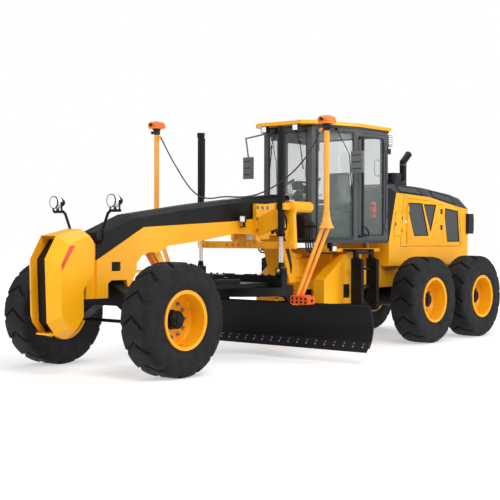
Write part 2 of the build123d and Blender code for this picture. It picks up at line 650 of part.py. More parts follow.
# ---- Rear frame ------------------------------------------------------------------------
def rear_frame():
    """Two rails with cross members, the tongue at the articulation pin and the side boxes."""
    front = PIVOT - 330
    tongue_low = PIVOT_LOW + LUG_THICK + SPACE
    tongue_high = PIVOT_HIGH - LUG_THICK - SPACE
    tongue = Pos(PIVOT, 0, (tongue_low + tongue_high) / 2) * Cylinder(125, tongue_high - tongue_low)
    tongue += block(front - 60, PIVOT, -125, 125, tongue_low, tongue_high)
    tongue -= Pos(PIVOT, 0, 1200) * Cylinder(PIVOT_PIN_RADIUS + RUNNING, 1600)
    body = tongue + block(front - 60, front, -RAIL_HALF, RAIL_HALF, RAIL_LOW, DECK_LOW)
    for side in (-1, 1):
        outer, inner = sorted((side * RAIL_HALF, side * (RAIL_HALF - RAIL_WIDTH)))
        body += block(front, TANDEM - 1250, outer, inner, RAIL_LOW, RAIL_HIGH)
        box = [(PIVOT + 90, 680), (PIVOT + 90, 1023), (PIVOT - 500, 1420), (PIVOT - 860, 1420), (PIVOT - 860, 650)]
        shape = prism(box, RAIL_HALF - 1, 191)
        shape -= block(PIVOT - 394, PIVOT - 552, 540, 660, 745, 950)
        body += shape if side > 0 else right(shape)
    for x in (CAB_REAR + 100, TANDEM + 500, TANDEM - 500):
        body += block(x - 50, x + 50, -RAIL_HALF + 50, RAIL_HALF - 50, 1080, RAIL_HIGH)
    body += block(CAB_REAR, PIVOT - 60, -600, 600, DECK_LOW, DECK_LOW + 50)
    for x in (CAB_REAR + 250, front - 300):
        body += block(x - 40, x + 40, -400, 400, RAIL_HIGH - 20, DECK_LOW + 10)
    for y in (-450, 450):
        for x in (CAB_REAR + 150, PIVOT - 160):
            body += Pos(x, y, (DECK_LOW + 50 + CAB_FLOOR_UP) / 2) * Cylinder(50, CAB_FLOOR_UP - DECK_LOW - 50)
    end = REAR + 230
    body += block(TANDEM - 1250, end, -HOOD_HALF + 20, HOOD_HALF - 20, RAIL_LOW, HOOD_LOW)
    # tow clevis under the tail of the hood
    for low in (HITCH_LOW, HITCH_HIGH - HITCH_PLATE):
        body += block(HITCH - 65, end, -75, 75, low, low + HITCH_PLATE)
    body -= rod((HITCH, 0, HITCH_LOW - 10), (HITCH, 0, HITCH_HIGH + 10), HITCH_BORE)
    return body


def tandem_axle():
    """Cross tube with its housing, and a chain case each side that carries two wheels."""
    body = rod((TANDEM, -TANDEM_CASE_Y, HUB_UP), (TANDEM, TANDEM_CASE_Y, HUB_UP), 120)
    body += rod((TANDEM, -170, HUB_UP), (TANDEM, 170, HUB_UP), 175)
    for side in (-1, 1):
        start = side * TANDEM_CASE_Y - TANDEM_CASE_WIDTH / 2
        for x in (TANDEM - TANDEM_SPACING / 2, TANDEM + TANDEM_SPACING / 2):
            body += rod((x, start, HUB_UP), (x, start + TANDEM_CASE_WIDTH, HUB_UP), TANDEM_CASE_RADIUS - 30)
            body += rod((x, side * TANDEM_CASE_Y, HUB_UP), (x, side * (WHEEL_Y + 80), HUB_UP), STUB_RADIUS)
            body += rod((x, side * TANDEM_CASE_Y, HUB_UP), (x, side * (WHEEL_Y - 78), HUB_UP), 120)
        half = TANDEM_SPACING / 2
        case = [(TANDEM - half, HUB_UP - TANDEM_CASE_RADIUS + 30), (TANDEM, HUB_UP - TANDEM_CASE_RADIUS),
                (TANDEM + half, HUB_UP - TANDEM_CASE_RADIUS + 30), (TANDEM + half, HUB_UP + TANDEM_CASE_RADIUS - 30),
                (TANDEM, HUB_UP + TANDEM_CASE_RADIUS), (TANDEM - half, HUB_UP + TANDEM_CASE_RADIUS - 30)]
        body += prism(case, start, TANDEM_CASE_WIDTH)
    # pads that carry the rails
    for side in (-1, 1):
        y0, y1 = sorted((side * (RAIL_HALF - RAIL_WIDTH), side * RAIL_HALF))
        body += block(TANDEM - 150, TANDEM + 150, y0, y1, HUB_UP, RAIL_LOW)
    return body


def hood_outline():
    """Side view of the hood's panels: (x, z) from the lower front corner round."""
    t = TANDEM
    return [(t + 1040, HOOD_LOW), (t + 1040, 1591), (t + 830, 2360), (t - 195, 2321), (t - 1140, 2185),
            (REAR, 2130), (REAR, HOOD_LOW)]


def door_outline(gap):
    t = TANDEM
    return [(t + 507 - gap, 1505 + gap), (t + 507 - gap, 2290 - gap), (t - 195, 2261 - gap), (t - 642 + gap, 2195 - gap),
            (t - 642 + gap, 1505 + gap)]


GRILLES = (
    # outline of (x from the tandem's middle, z)
    ((462, 2215), (37, 2215), (-168, 1678), (286, 1672), (483, 2126)),
    ((-8, 2202), (-415, 2204), (-236, 1737)),
    ((-708, 2153), (-1141, 2114), (-1209, 1578), (-784, 1578), (-700, 2008)),
)


def hood_plan(inset):
    h = HOOD_HALF - inset
    corner = h - TAIL_CHAMFER_Y
    return [(TANDEM + 1040 - inset, -h), (TANDEM + 1040 - inset, h), (REAR + TAIL_CHAMFER_X, h),
            (REAR + inset, corner), (REAR + inset, -corner), (REAR + TAIL_CHAMFER_X, -h)]


def hood_shell():
    """Hood's side and rear panels, with the door openings and the rear grille cut."""
    shell = slab(hood_outline(), HOOD_HALF) & prism(hood_plan(0), HOOD_LOW, 1400, "z")
    hollow = prism([
        (TANDEM + 1040 - HOOD_WALL, HOOD_LOW - 10), (TANDEM + 1040 - HOOD_WALL, 1591), (TANDEM + 830 - HOOD_WALL, 2400),
        (REAR, 2400), (REAR, HOOD_LOW - 10)], -HOOD_HALF, 2 * HOOD_HALF)
    shell -= hollow & prism(hood_plan(HOOD_WALL), HOOD_LOW - 20, 1400, "z")
    doors = prism(door_outline(0), -HOOD_HALF - 10, 2 * HOOD_HALF + 20)
    shell -= doors
    shell -= prism([(TANDEM + x, z) for x, z in GRILLES[2]], -HOOD_HALF - 10, 2 * HOOD_HALF + 20)
    shell -= block(REAR - 20, REAR + 100, -TAIL_HALF, TAIL_HALF, TAIL_LOW, TAIL_HIGH)
    for low in (1740, 1980):
        lug = hinge_lug(TANDEM + 507 + 2, HOOD_HALF + HINGE_OUT, low, low + 50, HOOD_PIN, 1)
        shell += lug + right(lug)
    return shell


def hood_door(side):
    door = prism(door_outline(DOOR_GAP), HOOD_HALF - HOOD_WALL, HOOD_WALL)
    for outline in GRILLES[:2]:
        door -= prism([(TANDEM + x, z) for x, z in outline], HOOD_HALF - 60, 100)
    # hinge barrel outside the front edge
    axis = TANDEM + 507 + 2
    door += rod((axis, HOOD_HALF + HINGE_OUT, 1560), (axis, HOOD_HALF + HINGE_OUT, 2200), HOOD_PIN)
    for z in (1600, 2060):
        door += block(axis - 50, axis, HOOD_HALF + 2, HOOD_HALF + 14, z, z + 100)
        door += block(axis - 50, axis - 12, HOOD_HALF - 0.5, HOOD_HALF + 4, z, z + 100)
    return door if side > 0 else right(door)


def side_height(x):
    """Height of the hood's side edge at x."""
    edge = hood_outline()[2:6]
    for (x0, z0), (x1, z1) in zip(edge, edge[1:]):
        if x0 >= x >= x1:
            return z0 + (z1 - z0) * (x - x0) / (x1 - x0)
    return edge[-1][1]


def hood_top():
    """Dark faceted top of the hood."""
    t = TANDEM
    rear = side_height(REAR + 230)
    sections = (
        # x, z at the side, half width there, z of the ridge, half width of the ridge
        (t + 830, 2360, 600, RIDGE_FRONT, RIDGE_HALF_FRONT),
        (t + 700, side_height(t + 700), 600, 2515, 430),
        (t - 195, 2321, 600, 2485, 430),
        (t - 1140, 2185, 600, 2400, 430),
        (REAR + 230, rear, 600, 2340, 420),
    )
    def section(x, z_side, half_side, z_top, half_top):
        return make_face(Polyline([(x, -half_side, z_side), (x, half_side, z_side), (x, half_top, z_top),
                                   (x, -half_top, z_top)], close=True))
    body = loft([section(*row) for row in sections[:2]], ruled=True)
    for first, second in zip(sections[1:], sections[2:]):
        body += loft([section(*first), section(*second)], ruled=True)
    tail = [(REAR + 230, -600, rear), (REAR + 230, 600, rear), (REAR + 230, 420, 2340), (REAR + 230, -420, 2340)]
    end = [(REAR, -430, 2130), (REAR, 430, 2130), (REAR, 400, 2190), (REAR, -400, 2190)]
    body += loft([make_face(Polyline(tail, close=True)), make_face(Polyline(end, close=True))], ruled=True)
    return body


def hood_front():
    """Dark air box that fills the slant between the hood's panels and the cab."""
    front = TANDEM + HOOD_FRONT
    outline = [hood_outline()[1], (front, 1640), (front, 2390), (front - 40, RIDGE_FRONT), (TANDEM + 830, RIDGE_FRONT),
               hood_outline()[2]]
    body = slab(outline, HOOD_HALF)
    bevel = [(HOOD_HALF + 1, 2360), (RIDGE_HALF_FRONT, RIDGE_FRONT), (RIDGE_HALF_FRONT, 2600), (HOOD_HALF + 1, 2600)]
    cut = prism(bevel, TANDEM, 1200, "x")
    return body - cut - right(cut)


def louvre(outline):
    """Plate that fills a grille opening in the hood's left side, with a row of slots."""
    corners = [(TANDEM + x, HOOD_HALF - GRILLE_SUNK, z) for x, z in outline]
    face = make_face(Polyline(corners, close=True))
    plate = extrude(face, amount=GRILLE_THICK, dir=(0, -1, 0))
    field = extrude(offset(face, amount=-GRILLE_BORDER), amount=GRILLE_THICK, dir=(0, -1, 0))
    low = min(z for _, z in outline)
    high = max(z for _, z in outline)
    for step in range(int((high - low) / GRILLE_PITCH)):
        z = low + (step + 0.5) * GRILLE_PITCH
        plate -= field & block(REAR, CAB, 0, HOOD_HALF, z, z + GRILLE_SLOT)
    return plate


def door_grille(side):
    plates = [louvre(outline) for outline in GRILLES[:2]]
    return plates if side > 0 else [right(plate) for plate in plates]


def hood_grilles():
    """Grilles in the hood's rear quarters and in its tail."""
    tail = block(REAR + 5, REAR + 5 + GRILLE_THICK, -TAIL_HALF, TAIL_HALF, TAIL_LOW, TAIL_HIGH)
    for step in range(int((TAIL_HIGH - TAIL_LOW) / GRILLE_PITCH)):
        z = TAIL_LOW + (step + 0.5) * GRILLE_PITCH
        tail -= block(REAR, REAR + 30, GRILLE_BORDER - TAIL_HALF, TAIL_HALF - GRILLE_BORDER, z, z + GRILLE_SLOT)
    return both(louvre(GRILLES[2])) + [tail]


def engine_block():
    return block(TANDEM + 600, TANDEM - 650, -320, 320, RAIL_HIGH, 1950)


def exhaust():
    x, y, base = TANDEM + 154, 300, 2480
    body = rod((x, y, base), (x, y, 2900), 57) + ball((x, y, 2900), 58)
    body += rod((x, y, 2900), (x - 170, y, 3040), 57)
    return body


def precleaner():
    """Ribbed round air cleaner on a box."""
    x, y = TANDEM + 460, 300
    body = block(x - 150, x + 150, y - 120, y + 120, 2480, 2560)
    body += rod((x, y, 2560), (x, y, 2700), 128)
    for z in (2585, 2625, 2665):
        body += rod((x, y, z), (x, y, z + 18), 142)
    return body


# ---- Cab -------------------------------------------------------------------------------
def cab_plan(inset):
    """Six-sided plan of the cab, its walls moved in by inset."""
    front = CAB_FRONT_HALF - inset * 0.7
    side = CAB_SIDE_HALF - inset
    return [(CAB - inset, -front), (CAB - inset, front), (CAB_MID, side), (CAB_REAR + inset, side),
            (CAB_REAR + inset, -side), (CAB_MID, -side)]


DOOR_FRONT = CAB_MID - 90
DOOR_REAR = CAB_REAR + 60


def cab_frame():
    """Posts, sill and rear wall, with each window and door opening cut through."""
    height = CAB_ROOF_UP - CAB_FLOOR_UP
    body = prism(cab_plan(0), CAB_FLOOR_UP, height, "z")
    body -= prism(cab_plan(CAB_WALL), CAB_FLOOR_UP + SILL, height - SILL - 60, "z")
    low = CAB_FLOOR_UP + SILL + 5
    high = CAB_ROOF_UP - 75
    # windscreen
    body -= block(CAB - 100, CAB + 20, -CAB_FRONT_HALF + 80, CAB_FRONT_HALF - 80, low, high)
    # doorways
    body -= block(DOOR_REAR, DOOR_FRONT, -CAB_SIDE_HALF - 20, CAB_SIDE_HALF + 20, low, high)
    # slanted side windows
    for side in (-1, 1):
        body -= slant_panel(side, low, high, 40, -30)
    # rear window
    body -= block(CAB_REAR - 20, CAB_REAR + 100, -CAB_SIDE_HALF + 110, CAB_SIDE_HALF - 110, 2150, high)
    for start in (low + 270, high - 330):
        lug = hinge_lug(DOOR_REAR, CAB_SIDE_HALF + HINGE_OUT, start, start + 50, DOOR_PIN, -1)
        body += lug + right(lug)
    return body


def slant_normal():
    run = CAB_SLANT
    rise = CAB_SIDE_HALF - CAB_FRONT_HALF
    length = math.hypot(run, rise)
    return rise / length, run / length


def slant_panel(side, low, high, out, inside, margin=80):
    """Flat panel in the slanted side, from out to inside its plane, margin in from its posts."""
    nx, ny = slant_normal()
    ax, ay = CAB, CAB_FRONT_HALF
    bx, by = CAB_MID, CAB_SIDE_HALF
    length = math.hypot(bx - ax, by - ay)
    ux, uy = (bx - ax) / length, (by - ay) / length
    start = (ax + ux * margin, ay + uy * margin)
    stop = (bx - ux * margin, by - uy * margin)
    corners = []
    for (px, py), off in ((start, out), (stop, out), (stop, inside - CAB_WALL), (start, inside - CAB_WALL)):
        corners.append((px + nx * off, side * (py + ny * off)))
    return prism(corners, low, high - low, "z")


def cab_glass():
    """Windscreen, slanted side panes and rear pane, each in its opening."""
    low = CAB_FLOOR_UP + SILL + 5
    high = CAB_ROOF_UP - 75
    panes = [block(CAB - 20 - GLASS, CAB - 20, -CAB_FRONT_HALF + 80, CAB_FRONT_HALF - 80, low, high)]
    for side in (-1, 1):
        pane = slant_panel(side, low, high, -20, -20 - GLASS + CAB_WALL)
        panes.append(pane)
    panes.append(block(CAB_REAR + 20, CAB_REAR + 20 + GLASS, -CAB_SIDE_HALF + 110, CAB_SIDE_HALF - 110, 2150, high))
    return panes


def cab_roof():
    """Roof cap that overhangs the windscreen."""
    side = CAB_SIDE_HALF + 30
    plan = [(CAB + 200, -410), (CAB + 200, 410), (CAB + 60, 560), (CAB_MID + 40, side), (CAB_REAR - 50, side),
            (CAB_REAR - 50, -side), (CAB_MID + 40, -side), (CAB + 60, -560)]
    return prism(plan, CAB_ROOF_UP, ROOF_THICK, "z")


def cab_door(side):
    """Door leaf between the middle and rear posts, hinged at the rear."""
    low = CAB_FLOOR_UP + SILL + 5 + DOOR_GAP
    high = CAB_ROOF_UP - 75 - DOOR_GAP
    x0 = DOOR_REAR + DOOR_GAP
    x1 = DOOR_FRONT - DOOR_GAP
    leaf = block(x0, x1, CAB_SIDE_HALF - 40, CAB_SIDE_HALF, low, high)
    leaf -= block(x0 + DOOR_BORDER, x1 - DOOR_BORDER, CAB_SIDE_HALF - 60, CAB_SIDE_HALF + 20, low + DOOR_BORDER,
                  high - DOOR_BORDER)
    axis = DOOR_REAR
    leaf += rod((axis, CAB_SIDE_HALF + HINGE_OUT, low + 100), (axis, CAB_SIDE_HALF + HINGE_OUT, high - 100), DOOR_PIN)
    for z in (low + 150, high - 230):
        leaf += block(axis, axis + 45, CAB_SIDE_HALF + 2, CAB_SIDE_HALF + 14, z, z + 80)
        leaf += block(axis + 10, axis + 45, CAB_SIDE_HALF - 0.5, CAB_SIDE_HALF + 4, z, z + 80)
    # handle at the lower front corner
    leaf += block(x1 - 35, x1 - 5, CAB_SIDE_HALF - 0.5, CAB_SIDE_HALF + 35, 1700, 1800)
    return leaf if side > 0 else right(leaf)


def door_glass(side):
    low = CAB_FLOOR_UP + SILL + 5 + DOOR_GAP + DOOR_BORDER
    high = CAB_ROOF_UP - 75 - DOOR_GAP - DOOR_BORDER
    x0 = DOOR_REAR + DOOR_GAP + DOOR_BORDER
    x1 = DOOR_FRONT - DOOR_GAP - DOOR_BORDER
    pane = block(x0, x1, CAB_SIDE_HALF - 20 - GLASS, CAB_SIDE_HALF - 20, low, high)
    return pane if side > 0 else right(pane)


def seat():
    x = CAB - 1050
    floor = CAB_FLOOR_UP + SILL
    body = block(x - 220, x + 220, -230, 230, floor + 300, floor + 440)
    body += block(x - 300, x - 180, -230, 230, floor + 380, floor + 1080)
    body += block(x - 150, x + 150, -150, 150, floor, floor + 310)
    for side in (-1, 1):
        body += block(x - 200, x + 120, side * 300 - 40, side * 300 + 40, floor + 560, floor + 640)
        body += block(x - 260, x - 200, side * 220, side * 330, floor + 565, floor + 635)
    return body


def console():
    """Steering column and wheel behind the windscreen."""
    x = CAB - 330
    floor = CAB_FLOOR_UP + SILL
    body = prism([(x + 150, floor), (x + 20, floor), (x - 130, floor + 690), (x - 20, floor + 720)], -110, 220)
    hub = (x - 100, 0, floor + 800)
    tilt = Plane(origin=hub, z_dir=(-0.35, 0, 1))
    body += rod((x - 75, 0, floor + 680), hub, 25)
    body += tilt * Cylinder(200, 20) - tilt * Cylinder(165, 60)
    body += tilt * Box(360, 30, 12) + tilt * Box(30, 360, 12)
    return body


def grab_rails():
    """Upright grab rail at each middle post."""
    x = CAB_MID - 25
    rail = rod((x, 805, 1640), (x, 805, CAB_ROOF_UP - 140), 14)
    for z in (1660, CAB_ROOF_UP - 160):
        rail += rod((x, 805, z), (x, CAB_SIDE_HALF, z), 10)
    return rail


def steps():
    """Ladder each side below the door: two boxed stiles on narrow necks, with treads between them."""
    shapes = []
    for side in (-1, 1):
        part = block(CAB_MID - 235, CAB_MID + 190, 600, 800, 1440, 1470)
        for middle in (CAB_MID - 222, CAB_MID + 177):
            stile = [(765, 1330), (800, 1345), (800, 1470), (860, 1470), (860, 1345), (950, 1310), (950, 600),
                     (930, 560), (785, 560), (765, 600)]
            part += prism(stile, middle - 35, 70, "x")
        for z in (640, 900, 1160, 1400):
            part += block(CAB_MID - 235, CAB_MID + 190, 800, 860, z, z + 30)
        shapes.append(part if side > 0 else right(part))
    return shapes


def mirrors():
    """Right mirror on an arm ahead of the windscreen, left mirror on the left middle post."""
    x = CAB + 200
    top = CAB_ROOF_UP - 90
    elbow = (x, -640, top - 70)
    ahead = block(CAB, CAB + 20, -420, -380, top - 30, top + 30)
    ahead += rod((CAB + 14, -400, top), elbow, MIRROR_ARM) + ball(elbow, MIRROR_ARM + 3)
    ahead += rod(elbow, (x, -590, top - 360), MIRROR_ARM)
    ahead += block(x - 25, x + 25, -590 - 85, -590 + 85, top - 680, top - 355)
    x = CAB_MID + 177
    y = CAB_SIDE_HALF + 105
    beside = block(x - 25, x + 25, y - 103, y + 103, 2598, 2915)
    for z in (2660, 2850):
        beside += rod((x, y - 60, z), (CAB_MID + 30, CAB_SIDE_HALF - 30, z), MIRROR_ARM)
    return [ahead, beside - cab_frame()]


def work_lamps():
    shapes = []
    for y in (-293, 293):
        shapes.append(block(CAB + 130, CAB + 195, y - 55, y + 55, CAB_ROOF_UP - 100, CAB_ROOF_UP))
    for side in (-1, 1):
        shapes.append(block(CAB_REAR - 110, CAB_REAR, side * 700 - 50, side * 700 + 50, CAB_ROOF_UP - 230,
                            CAB_ROOF_UP - 60))
    slope = TAIL_CHAMFER_Y / TAIL_CHAMFER_X
    inner = HOOD_HALF - (TAIL_CHAMFER_X - 90) * slope
    lamp = [(REAR + 300, HOOD_HALF), (REAR + TAIL_CHAMFER_X, HOOD_HALF), (REAR + 90, inner), (REAR + 60, inner + 60),
            (REAR + 130, HOOD_HALF + 60), (REAR + 300, HOOD_HALF + 60)]
    lamp = prism(lamp, 1720, 350, "z")
    return shapes + [lamp, right(lamp)]


make_wheels()
save("front_frame", front_frame())
save("frame_cover", frame_cover())
save("nose_weight", nose_weight())
save("nose_panel", nose_panel())
save("front_lamps", *both(front_lamps()))
save("saddle", saddle())
save("front_axle", front_axle())
save("knuckle_left", knuckle(1))
save("knuckle_right", knuckle(-1))
save("tie_rod", tie_rod())
save("lift_barrel_left", lift_barrel(1))
save("lift_barrel_right", lift_barrel(-1))
save("lift_rod_left", lift_rod(1))
save("lift_rod_right", lift_rod(-1))
save("drawbar", drawbar())
save("circle", circle())
save("blade_carrier", blade_carrier())
save("mouldboard", mouldboard())
save("cutting_edge", cutting_edge())
save("masts", *masts())
save("receivers", *receivers())
save("mast_cable", mast_cable())
save("rear_frame", rear_frame())
save("tandem_axle", tandem_axle())
save("hood_shell", hood_shell())
save("hood_door_left", hood_door(1))
save("hood_door_right", hood_door(-1))
save("hood_top", hood_top())
save("hood_front", hood_front())
save("door_grille_left", *door_grille(1))
save("door_grille_right", *door_grille(-1))
save("hood_grilles", *hood_grilles())
save("engine_block", engine_block())
save("exhaust", exhaust() - hood_top())
save("precleaner", precleaner() - hood_top())
save("cab_frame", cab_frame())
save("cab_glass", *cab_glass())
save("cab_roof", cab_roof())
save("door_left", cab_door(1))
save("door_right", cab_door(-1))
save("door_glass_left", door_glass(1))
save("door_glass_right", door_glass(-1))
save("seat", seat())
save("console", console())
save("steps", *steps())
save("grab_rails", *both(grab_rails()))
save("mirrors", *mirrors())
save("work_lamps", *work_lamps())
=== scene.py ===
"""Motor grader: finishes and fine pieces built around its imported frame, laid out as an add-on."""

import json
import math
from contextlib import contextmanager

import bmesh
import bpy
from mathutils import Matrix, Vector


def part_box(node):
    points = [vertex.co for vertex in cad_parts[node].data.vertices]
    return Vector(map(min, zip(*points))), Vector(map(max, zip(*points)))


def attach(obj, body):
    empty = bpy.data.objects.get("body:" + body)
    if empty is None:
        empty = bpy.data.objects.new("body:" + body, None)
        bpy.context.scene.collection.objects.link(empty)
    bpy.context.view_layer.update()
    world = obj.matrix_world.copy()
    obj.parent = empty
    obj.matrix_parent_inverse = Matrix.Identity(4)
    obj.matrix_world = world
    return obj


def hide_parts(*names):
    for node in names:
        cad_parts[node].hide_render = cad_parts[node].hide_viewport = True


bl_info = {
    "name": "Motor grader finishes",
    "version": (1, 0, 0),
    "blender": (4, 5, 0),
    "location": "View3D > Sidebar > Grader",
    "description": "Builds tyres, hoses, glazing, lamps and finishes around the motor grader's fixed frame",
    "category": "Object",
}

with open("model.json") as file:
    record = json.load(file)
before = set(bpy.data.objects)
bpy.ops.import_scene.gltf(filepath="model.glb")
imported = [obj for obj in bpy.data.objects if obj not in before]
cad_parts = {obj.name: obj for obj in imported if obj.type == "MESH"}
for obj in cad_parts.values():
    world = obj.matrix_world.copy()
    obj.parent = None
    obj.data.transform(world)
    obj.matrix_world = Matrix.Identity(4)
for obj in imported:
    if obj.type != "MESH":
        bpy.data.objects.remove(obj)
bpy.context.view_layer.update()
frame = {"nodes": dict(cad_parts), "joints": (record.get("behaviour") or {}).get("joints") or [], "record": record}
NODES = frame["nodes"]
JOINTS = {joint["name"]: joint for joint in frame["joints"]}
MM = 0.001
UP = Vector((0, 0, 1))
SIDES = (("left", 1), ("right", -1))
WHEELS = [name[5:] for name in NODES if name.startswith("tyre_")]


# ---- places read from the frame

def joint_place(name):
    """Where a joint's axis passes, in metres."""
    return Vector(JOINTS[name]["pos_m"])


def centre_of(node):
    low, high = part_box(node)
    return (low + high) / 2


AXLE = centre_of("tyre_front_left").x
TANDEM = (centre_of("tyre_middle_left").x + centre_of("tyre_rear_left").x) / 2
PIVOT = joint_place("articulation").x
CIRCLE = joint_place("circle_turn").x
LIFT = joint_place("lift_barrel_swing_left")
MAST = Vector((CIRCLE + 0.116, 1.568, 0.0))
CAB_REAR, CAB = (corner.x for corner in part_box("cab_frame"))
CAB_MID = CAB - 0.760
CAB_FRONT_HALF = 0.450
CAB_HALF = 0.750
CAB_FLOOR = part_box("cab_frame")[0].z
CAB_FLOOR_THICK = 0.055
CAB_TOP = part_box("cab_roof")[0].z
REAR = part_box("hood_shell")[0].x
HOOD_HALF = 0.600


def inside_plan():
    """The cab's plan, seen from above and just within its walls."""
    half = CAB_HALF - 0.060
    front, rear = CAB - 0.060, CAB_REAR + 0.060
    return [(front, -0.40), (front, 0.40), (CAB_MID, half), (rear, half), (rear, -half), (CAB_MID, -half)]


# ---- colour and node helpers

def linear(code):
    """An sRGB hex colour as linear red, green, blue and alpha."""
    parts = [int(code[i:i + 2], 16) / 255 for i in (1, 3, 5)]
    return [c / 12.92 if c <= 0.04045 else ((c + 0.055) / 1.055) ** 2.4 for c in parts] + [1.0]


def feed(tree, node, sources):
    """Links each source to the node's socket of that name or number."""
    for key, source in sources.items():
        tree.links.new(source, node.inputs[key])


def add(tree, kind, settings=None, sources=None, stops=()):
    """Adds a node; settings fill its attributes or sockets, sources feed it, stops colour its ramp."""
    made = tree.nodes.new(kind)
    for key, value in (settings or {}).items():
        if isinstance(key, str) and hasattr(made, key):
            setattr(made, key, value)
        else:
            made.inputs[key].default_value = value
    for stop, (place, code) in enumerate(stops):
        made.color_ramp.elements[stop].position = place
        made.color_ramp.elements[stop].color = linear(code)
    feed(tree, made, sources or {})
    return made


def blank_material(name, settings=None):
    """A material with its shader and output, and object coordinates in metres."""
    material = bpy.data.materials.new(name)
    material.use_nodes = True
    tree = material.node_tree
    tree.nodes.clear()
    shader = add(tree, "ShaderNodeBsdfPrincipled", settings)
    add(tree, "ShaderNodeOutputMaterial", None, {"Surface": shader.outputs["BSDF"]})
    place = add(tree, "ShaderNodeTexCoord").outputs["Object"]
    return material, tree, shader, place


def per_metre(size_mm):
    """Scale for a pattern whose repeats are this many millimetres apart."""
    return 1000.0 / size_mm


def bands_per_metre(size_mm):
    """Scale for the wave pattern, which draws twenty bands to a unit."""
    return per_metre(size_mm) / 20


def mottled(tree, place, size_mm, dark, light, detail=3.0):
    """A colour that wanders between two near shades."""
    noise = add(tree, "ShaderNodeTexNoise", {"Scale": per_metre(size_mm), "Detail": detail},
                {"Vector": place})
    return add(tree, "ShaderNodeValToRGB", None, {"Fac": noise.outputs["Fac"]},
               [(0.35, dark), (0.65, light)]).outputs["Color"]


def grain(tree, place, size_mm, depth_mm, strength, detail=2.0):
    """A bumped normal from grain of this spacing and depth."""
    noise = add(tree, "ShaderNodeTexNoise", {"Scale": per_metre(size_mm), "Detail": detail},
                {"Vector": place})
    return add(tree, "ShaderNodeBump", {"Strength": strength, "Distance": depth_mm * MM},
               {"Height": noise.outputs["Fac"]}).outputs["Normal"]


def uneven(tree, place, size_mm, low, high):
    """A roughness that wanders between two values."""
    noise = add(tree, "ShaderNodeTexNoise", {"Scale": per_metre(size_mm), "Detail": 4.0}, {"Vector": place})
    return add(tree, "ShaderNodeMapRange", {"From Min": 0.3, "From Max": 0.7, "To Min": low, "To Max": high},
               {"Value": noise.outputs["Fac"]}).outputs["Result"]


# ---- materials

def surface(name, shades, rough, skin=None, settings=None):
    """One stuff all over. shades: spacing in mm, dark and light; rough: a value, or a spacing and two values;
    skin: the grain's spacing and depth in mm, and its strength."""
    material, tree, shader, place = blank_material(name, settings)
    feed(tree, shader, {"Base Color": mottled(tree, place, *shades)})
    if isinstance(rough, tuple):
        feed(tree, shader, {"Roughness": uneven(tree, place, *rough)})
    else:
        shader.inputs["Roughness"].default_value = rough
    if skin:
        feed(tree, shader, {"Normal": grain(tree, place, *skin)})
    return material


def even_coat(name, dark, light, low, high, coat=0.0, gloss=0.5):
    """Paint or a smooth moulding: an even colour, a roughness from low to high and a faint orange peel."""
    # orange peel is about 1.5 mm apart; drawn at 9 mm so that it shows at all
    return surface(name, (900, dark, light), (260, low, high), (9, 0.25, 0.12),
                   {"IOR": 1.5, "Specular IOR Level": gloss, "Coat Weight": coat, "Coat Roughness": 0.12})


def yellow_enamel():
    """Gloss enamel, sprayed and baked: a warm yellow with a clear even shine."""
    return even_coat("yellow_gloss_enamel", "#F3A50A", "#F9B115", 0.36, 0.46, 0.12, 0.3)


def black_enamel():
    """Satin enamel on castings and plate: near black with soft broad highlights."""
    return even_coat("black_satin_enamel", "#0A0B0C", "#101113", 0.42, 0.54, 0.0, 0.18)


def red_enamel():
    """Gloss red enamel on a pressed steel bottle."""
    return even_coat("red_gloss_enamel", "#C4161C", "#D21F24", 0.2, 0.3, 0.4)


def white_enamel():
    """White enamelled steel plate, bare of any mark."""
    return even_coat("white_gloss_enamel", "#ECECEA", "#F6F6F4", 0.25, 0.35)


def grey_powder_coat():
    """Powder coat on the cab's tubes: dark grey with a fine even texture."""
    # powder texture is 0.5 mm; drawn at 4 mm
    return surface("grey_powder_coat", (300, "#45484C", "#4E5155"), 0.5, (4, 0.2, 0.15),
                   {"Specular IOR Level": 0.3})


def orange_powder_coat():
    """Powder coat on the masts' tubes: a light orange, a little chalky."""
    return surface("orange_powder_coat", (400, "#F0982A", "#F6A638"), (120, 0.38, 0.5), (5, 0.2, 0.12))


def orange_casting():
    """Cast and painted orange-red: a slightly rough skin under thick paint."""
    return even_coat("orange_red_painted_casting", "#E4571B", "#EE6A24", 0.42, 0.55, 0.0, 0.3)


def orange_moulding():
    """Moulded orange polycarbonate housing with a fine grain."""
    return even_coat("moulded_orange_polycarbonate", "#F07E1E", "#F58C28", 0.38, 0.5)


def tyre_rubber():
    """Vulcanised natural rubber: matt black, a little greyer where handling has dulled it."""
    # mould finish is under 1 mm; drawn at 7 mm
    return surface("vulcanised_rubber", (160, "#151517", "#1F1F22", 5.0), (70, 0.55, 0.72),
                   (7, 0.6, 0.25, 5.0), {"IOR": 1.52, "Specular IOR Level": 0.18})


def hose_rubber():
    """Extruded rubber jacket: black with a dull sheen along its length."""
    return surface("extruded_jacket_rubber", (60, "#131416", "#1B1C1F"), 0.45, (3, 0.15, 0.15))


def wear_steel():
    """Rolled boron steel edge, painted black at the works and dark all over."""
    return even_coat("rolled_wear_steel", "#121315", "#1C1D20", 0.42, 0.58, 0.0, 0.25)


def cast_iron():
    """Grey iron casting under a thin coat: rough skin from the sand mould."""
    return surface("sand_cast_iron", (120, "#3E4145", "#4D5055"), 0.6, (6, 0.8, 0.4, 5.0))


def zinc_plate():
    """Zinc-plated fasteners: pale grey metal with a soft sheen."""
    return surface("zinc_plated_steel", (30, "#8D8F92", "#A4A6A8"), 0.38, None, {"Metallic": 0.9})


def moulded_plastic():
    """Black ABS mouldings with a leather grain from the tool."""
    # tool grain is 0.8 mm; drawn at 3 mm
    return surface("moulded_black_abs", (80, "#121315", "#1A1B1E"), 0.48, (3, 0.25, 0.3),
                   {"Specular IOR Level": 0.3})


